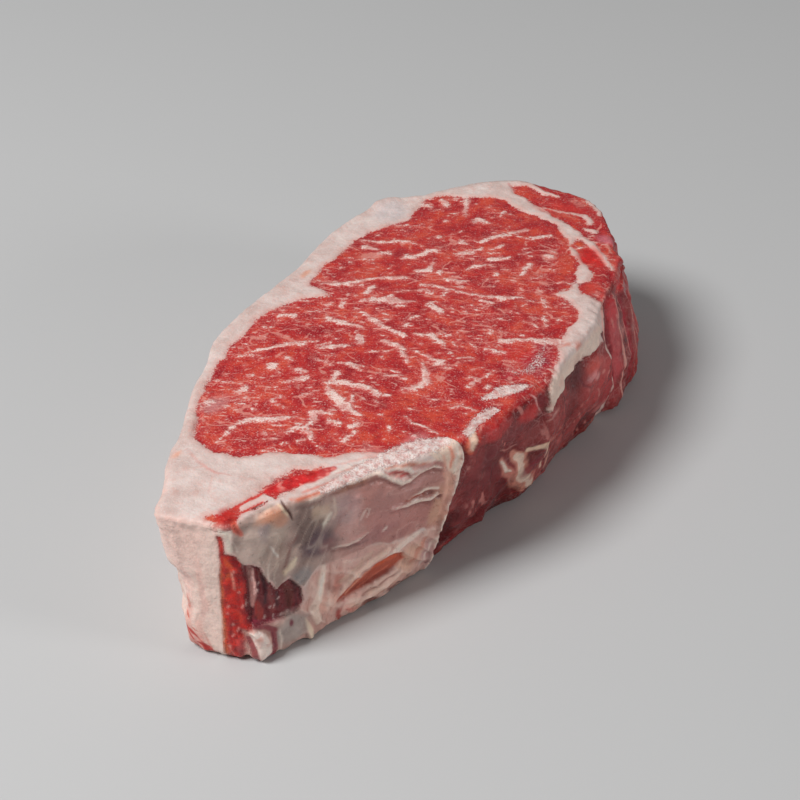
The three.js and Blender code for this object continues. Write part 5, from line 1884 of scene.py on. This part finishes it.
    def painted(self, colour):
        """The paint laid over the tissue, slightly mottled, and less so where it is wet or fat."""
        mottle = self.times(self.spread(self.even, 0.82, 1.18), self.spread(self.grain, 0.9, 1.1))
        steady = self.times(self.math("SUBTRACT", mottle, 1.0), self.by_wet(1.0, 0.45))
        steady = self.times(steady, self.by_fat(1.0, 0.5))
        paint = self.scaled(self.attribute("painted", 1), self.plus(steady, 1.0))
        under = self.scaled(colour, self.math("SUBTRACT", 1.0, self.attribute("cover")))
        return self.vectors("ADD", under, paint)

    def frothy(self, colour):
        """Pale grains of cut fat that stand up along the rim."""
        froth = self.attribute("froth")
        clumps = self.times(self.noise(self.mm, 0.7, 3, 0.6), 0.7)
        clumps = self.plus(clumps, self.times(self.grains, 0.3))
        standing = self.plus(self.grains, self.between(froth, 0, 1, -0.22, 0.25))
        standing = self.between(standing, 0.46, 0.6, 0.0, 0.92)
        self.froth_share = self.times(self.between(froth, 0.02, 0.2), standing)
        return self.mix(self.froth_share, colour, self.ramp(clumps, FROTH_FAT))

    def roughness(self):
        rough = self.plus(self.by_fat(0.36, 0.5), self.by_wet(0.0, -0.2))
        return self.plus(rough, self.spread(self.even, -0.07, 0.1))

    def height(self, coarse, coarse_height, grain_height):
        return self.plus(self.times(coarse, coarse_height), self.times(self.grain, grain_height))

    def bump(self):
        """The finest relief, with beads of moisture where it is wet."""
        lean = self.blend(self.wall, self.height(self.middle, 0.7, 0.35), self.height(self.even, 1.8, 0.6))
        heights = self.blend(self.fat_share, lean, self.height(self.even, 1.1, 0.1))
        heights = self.plus(heights, self.times(self.froth_share, self.times(self.grain, 0.8)))
        heights = self.plus(heights, self.times(self.vein_share, 0.15))
        beads = self.between(self.noise(self.mm, 0.75, 2, 0.5), 0.62, 0.74)
        heights = self.plus(heights, self.times(beads, self.by_wet(0.1, 0.5)))
        return self.add("ShaderNodeBump", {"Height": heights, "Strength": 0.8, "Distance": BUMP_HEIGHT})

    def finish(self):
        meat = self.flecks(self.fine_web(self.bare_lean()))
        meat = self.veins(self.wall_web(meat))
        colour = self.frothy(self.painted(self.lean_and_fat(meat)))
        self.put(self.shader.inputs["Base Color"], colour)
        self.put(self.shader.inputs["Roughness"], self.roughness())
        self.put(self.shader.inputs["Normal"], self.bump())
        self.settings(Subsurface_Weight=0.1, Subsurface_Radius=(1.0, 0.4, 0.3), Subsurface_Scale=0.001)
        self.settings(Specular_IOR_Level=0.3)
        return self.material


meat = Meat().finish()
for piece in pieces:
    piece.data.materials.append(meat)


# The photo's camera, a plain floor and soft light

AZIMUTH = math.radians(-60)
ELEVATION = math.radians(36)
TARGET = Vector((25.398, 14.983, 0)) * MM
DISTANCE = 0.62703
LENS = 90  # millimetres
SENSOR = 36
FLOOR_HALF = 3.0  # metres, as are the lights' places and sizes
FLOOR_DROP = 0.0002
FLOOR_GREY = (0.52, 0.52, 0.52, 1)
KEY_LIGHT = {"place": (-0.75, 0.5, 1.2), "size": 0.6, "power": 22}
FILL_LIGHT = {"place": (0.3, -1.4, 0.45), "size": 0.4, "power": 6}
WORLD_LIGHT = 0.15


def turned_to(obj, away):
    """Turns a camera or a lamp so that it looks against this direction."""
    obj.rotation_mode = "QUATERNION"
    obj.rotation_quaternion = (-away).to_track_quat("-Z", "Y")


def photo_camera():
    camera = object_of("camera", bpy.data.cameras.new("camera"))
    camera.data.lens = LENS
    camera.data.sensor_width = SENSOR
    flat = math.cos(ELEVATION)
    back = Vector((math.sin(AZIMUTH) * flat, -math.cos(AZIMUTH) * flat, math.sin(ELEVATION)))
    camera.location = TARGET + back * DISTANCE
    turned_to(camera, back)
    bpy.context.scene.camera = camera


def floor():
    mesh = bpy.data.meshes.new("floor")
    corners = [(x * FLOOR_HALF, y * FLOOR_HALF, 0) for x, y in [(-1, -1), (1, -1), (1, 1), (-1, 1)]]
    mesh.from_pydata(corners, [], [(0, 1, 2, 3)])
    obj = object_of("floor", mesh)
    obj.location.z = -FLOOR_DROP
    plain = Graph("floor")
    plain.settings(Base_Color=FLOOR_GREY, Roughness=0.9)
    mesh.materials.append(plain.material)


def area_light(name, place, size, power):
    data = bpy.data.lights.new(name, "AREA")
    data.shape = "DISK"
    data.size = size
    data.energy = power
    lamp = object_of(name, data)
    lamp.location = place
    turned_to(lamp, Vector(place))


def soft_world():
    world = bpy.data.worlds.new("world")
    bpy.context.scene.world = world
    world.use_nodes = True
    background = world.node_tree.nodes["Background"]
    background.inputs["Color"].default_value = (1, 1, 1, 1)
    background.inputs["Strength"].default_value = WORLD_LIGHT


photo_camera()
floor()
area_light("key", **KEY_LIGHT)
area_light("fill", **FILL_LIGHT)
soft_world()
bpy.context.scene.view_settings.view_transform = "Standard"
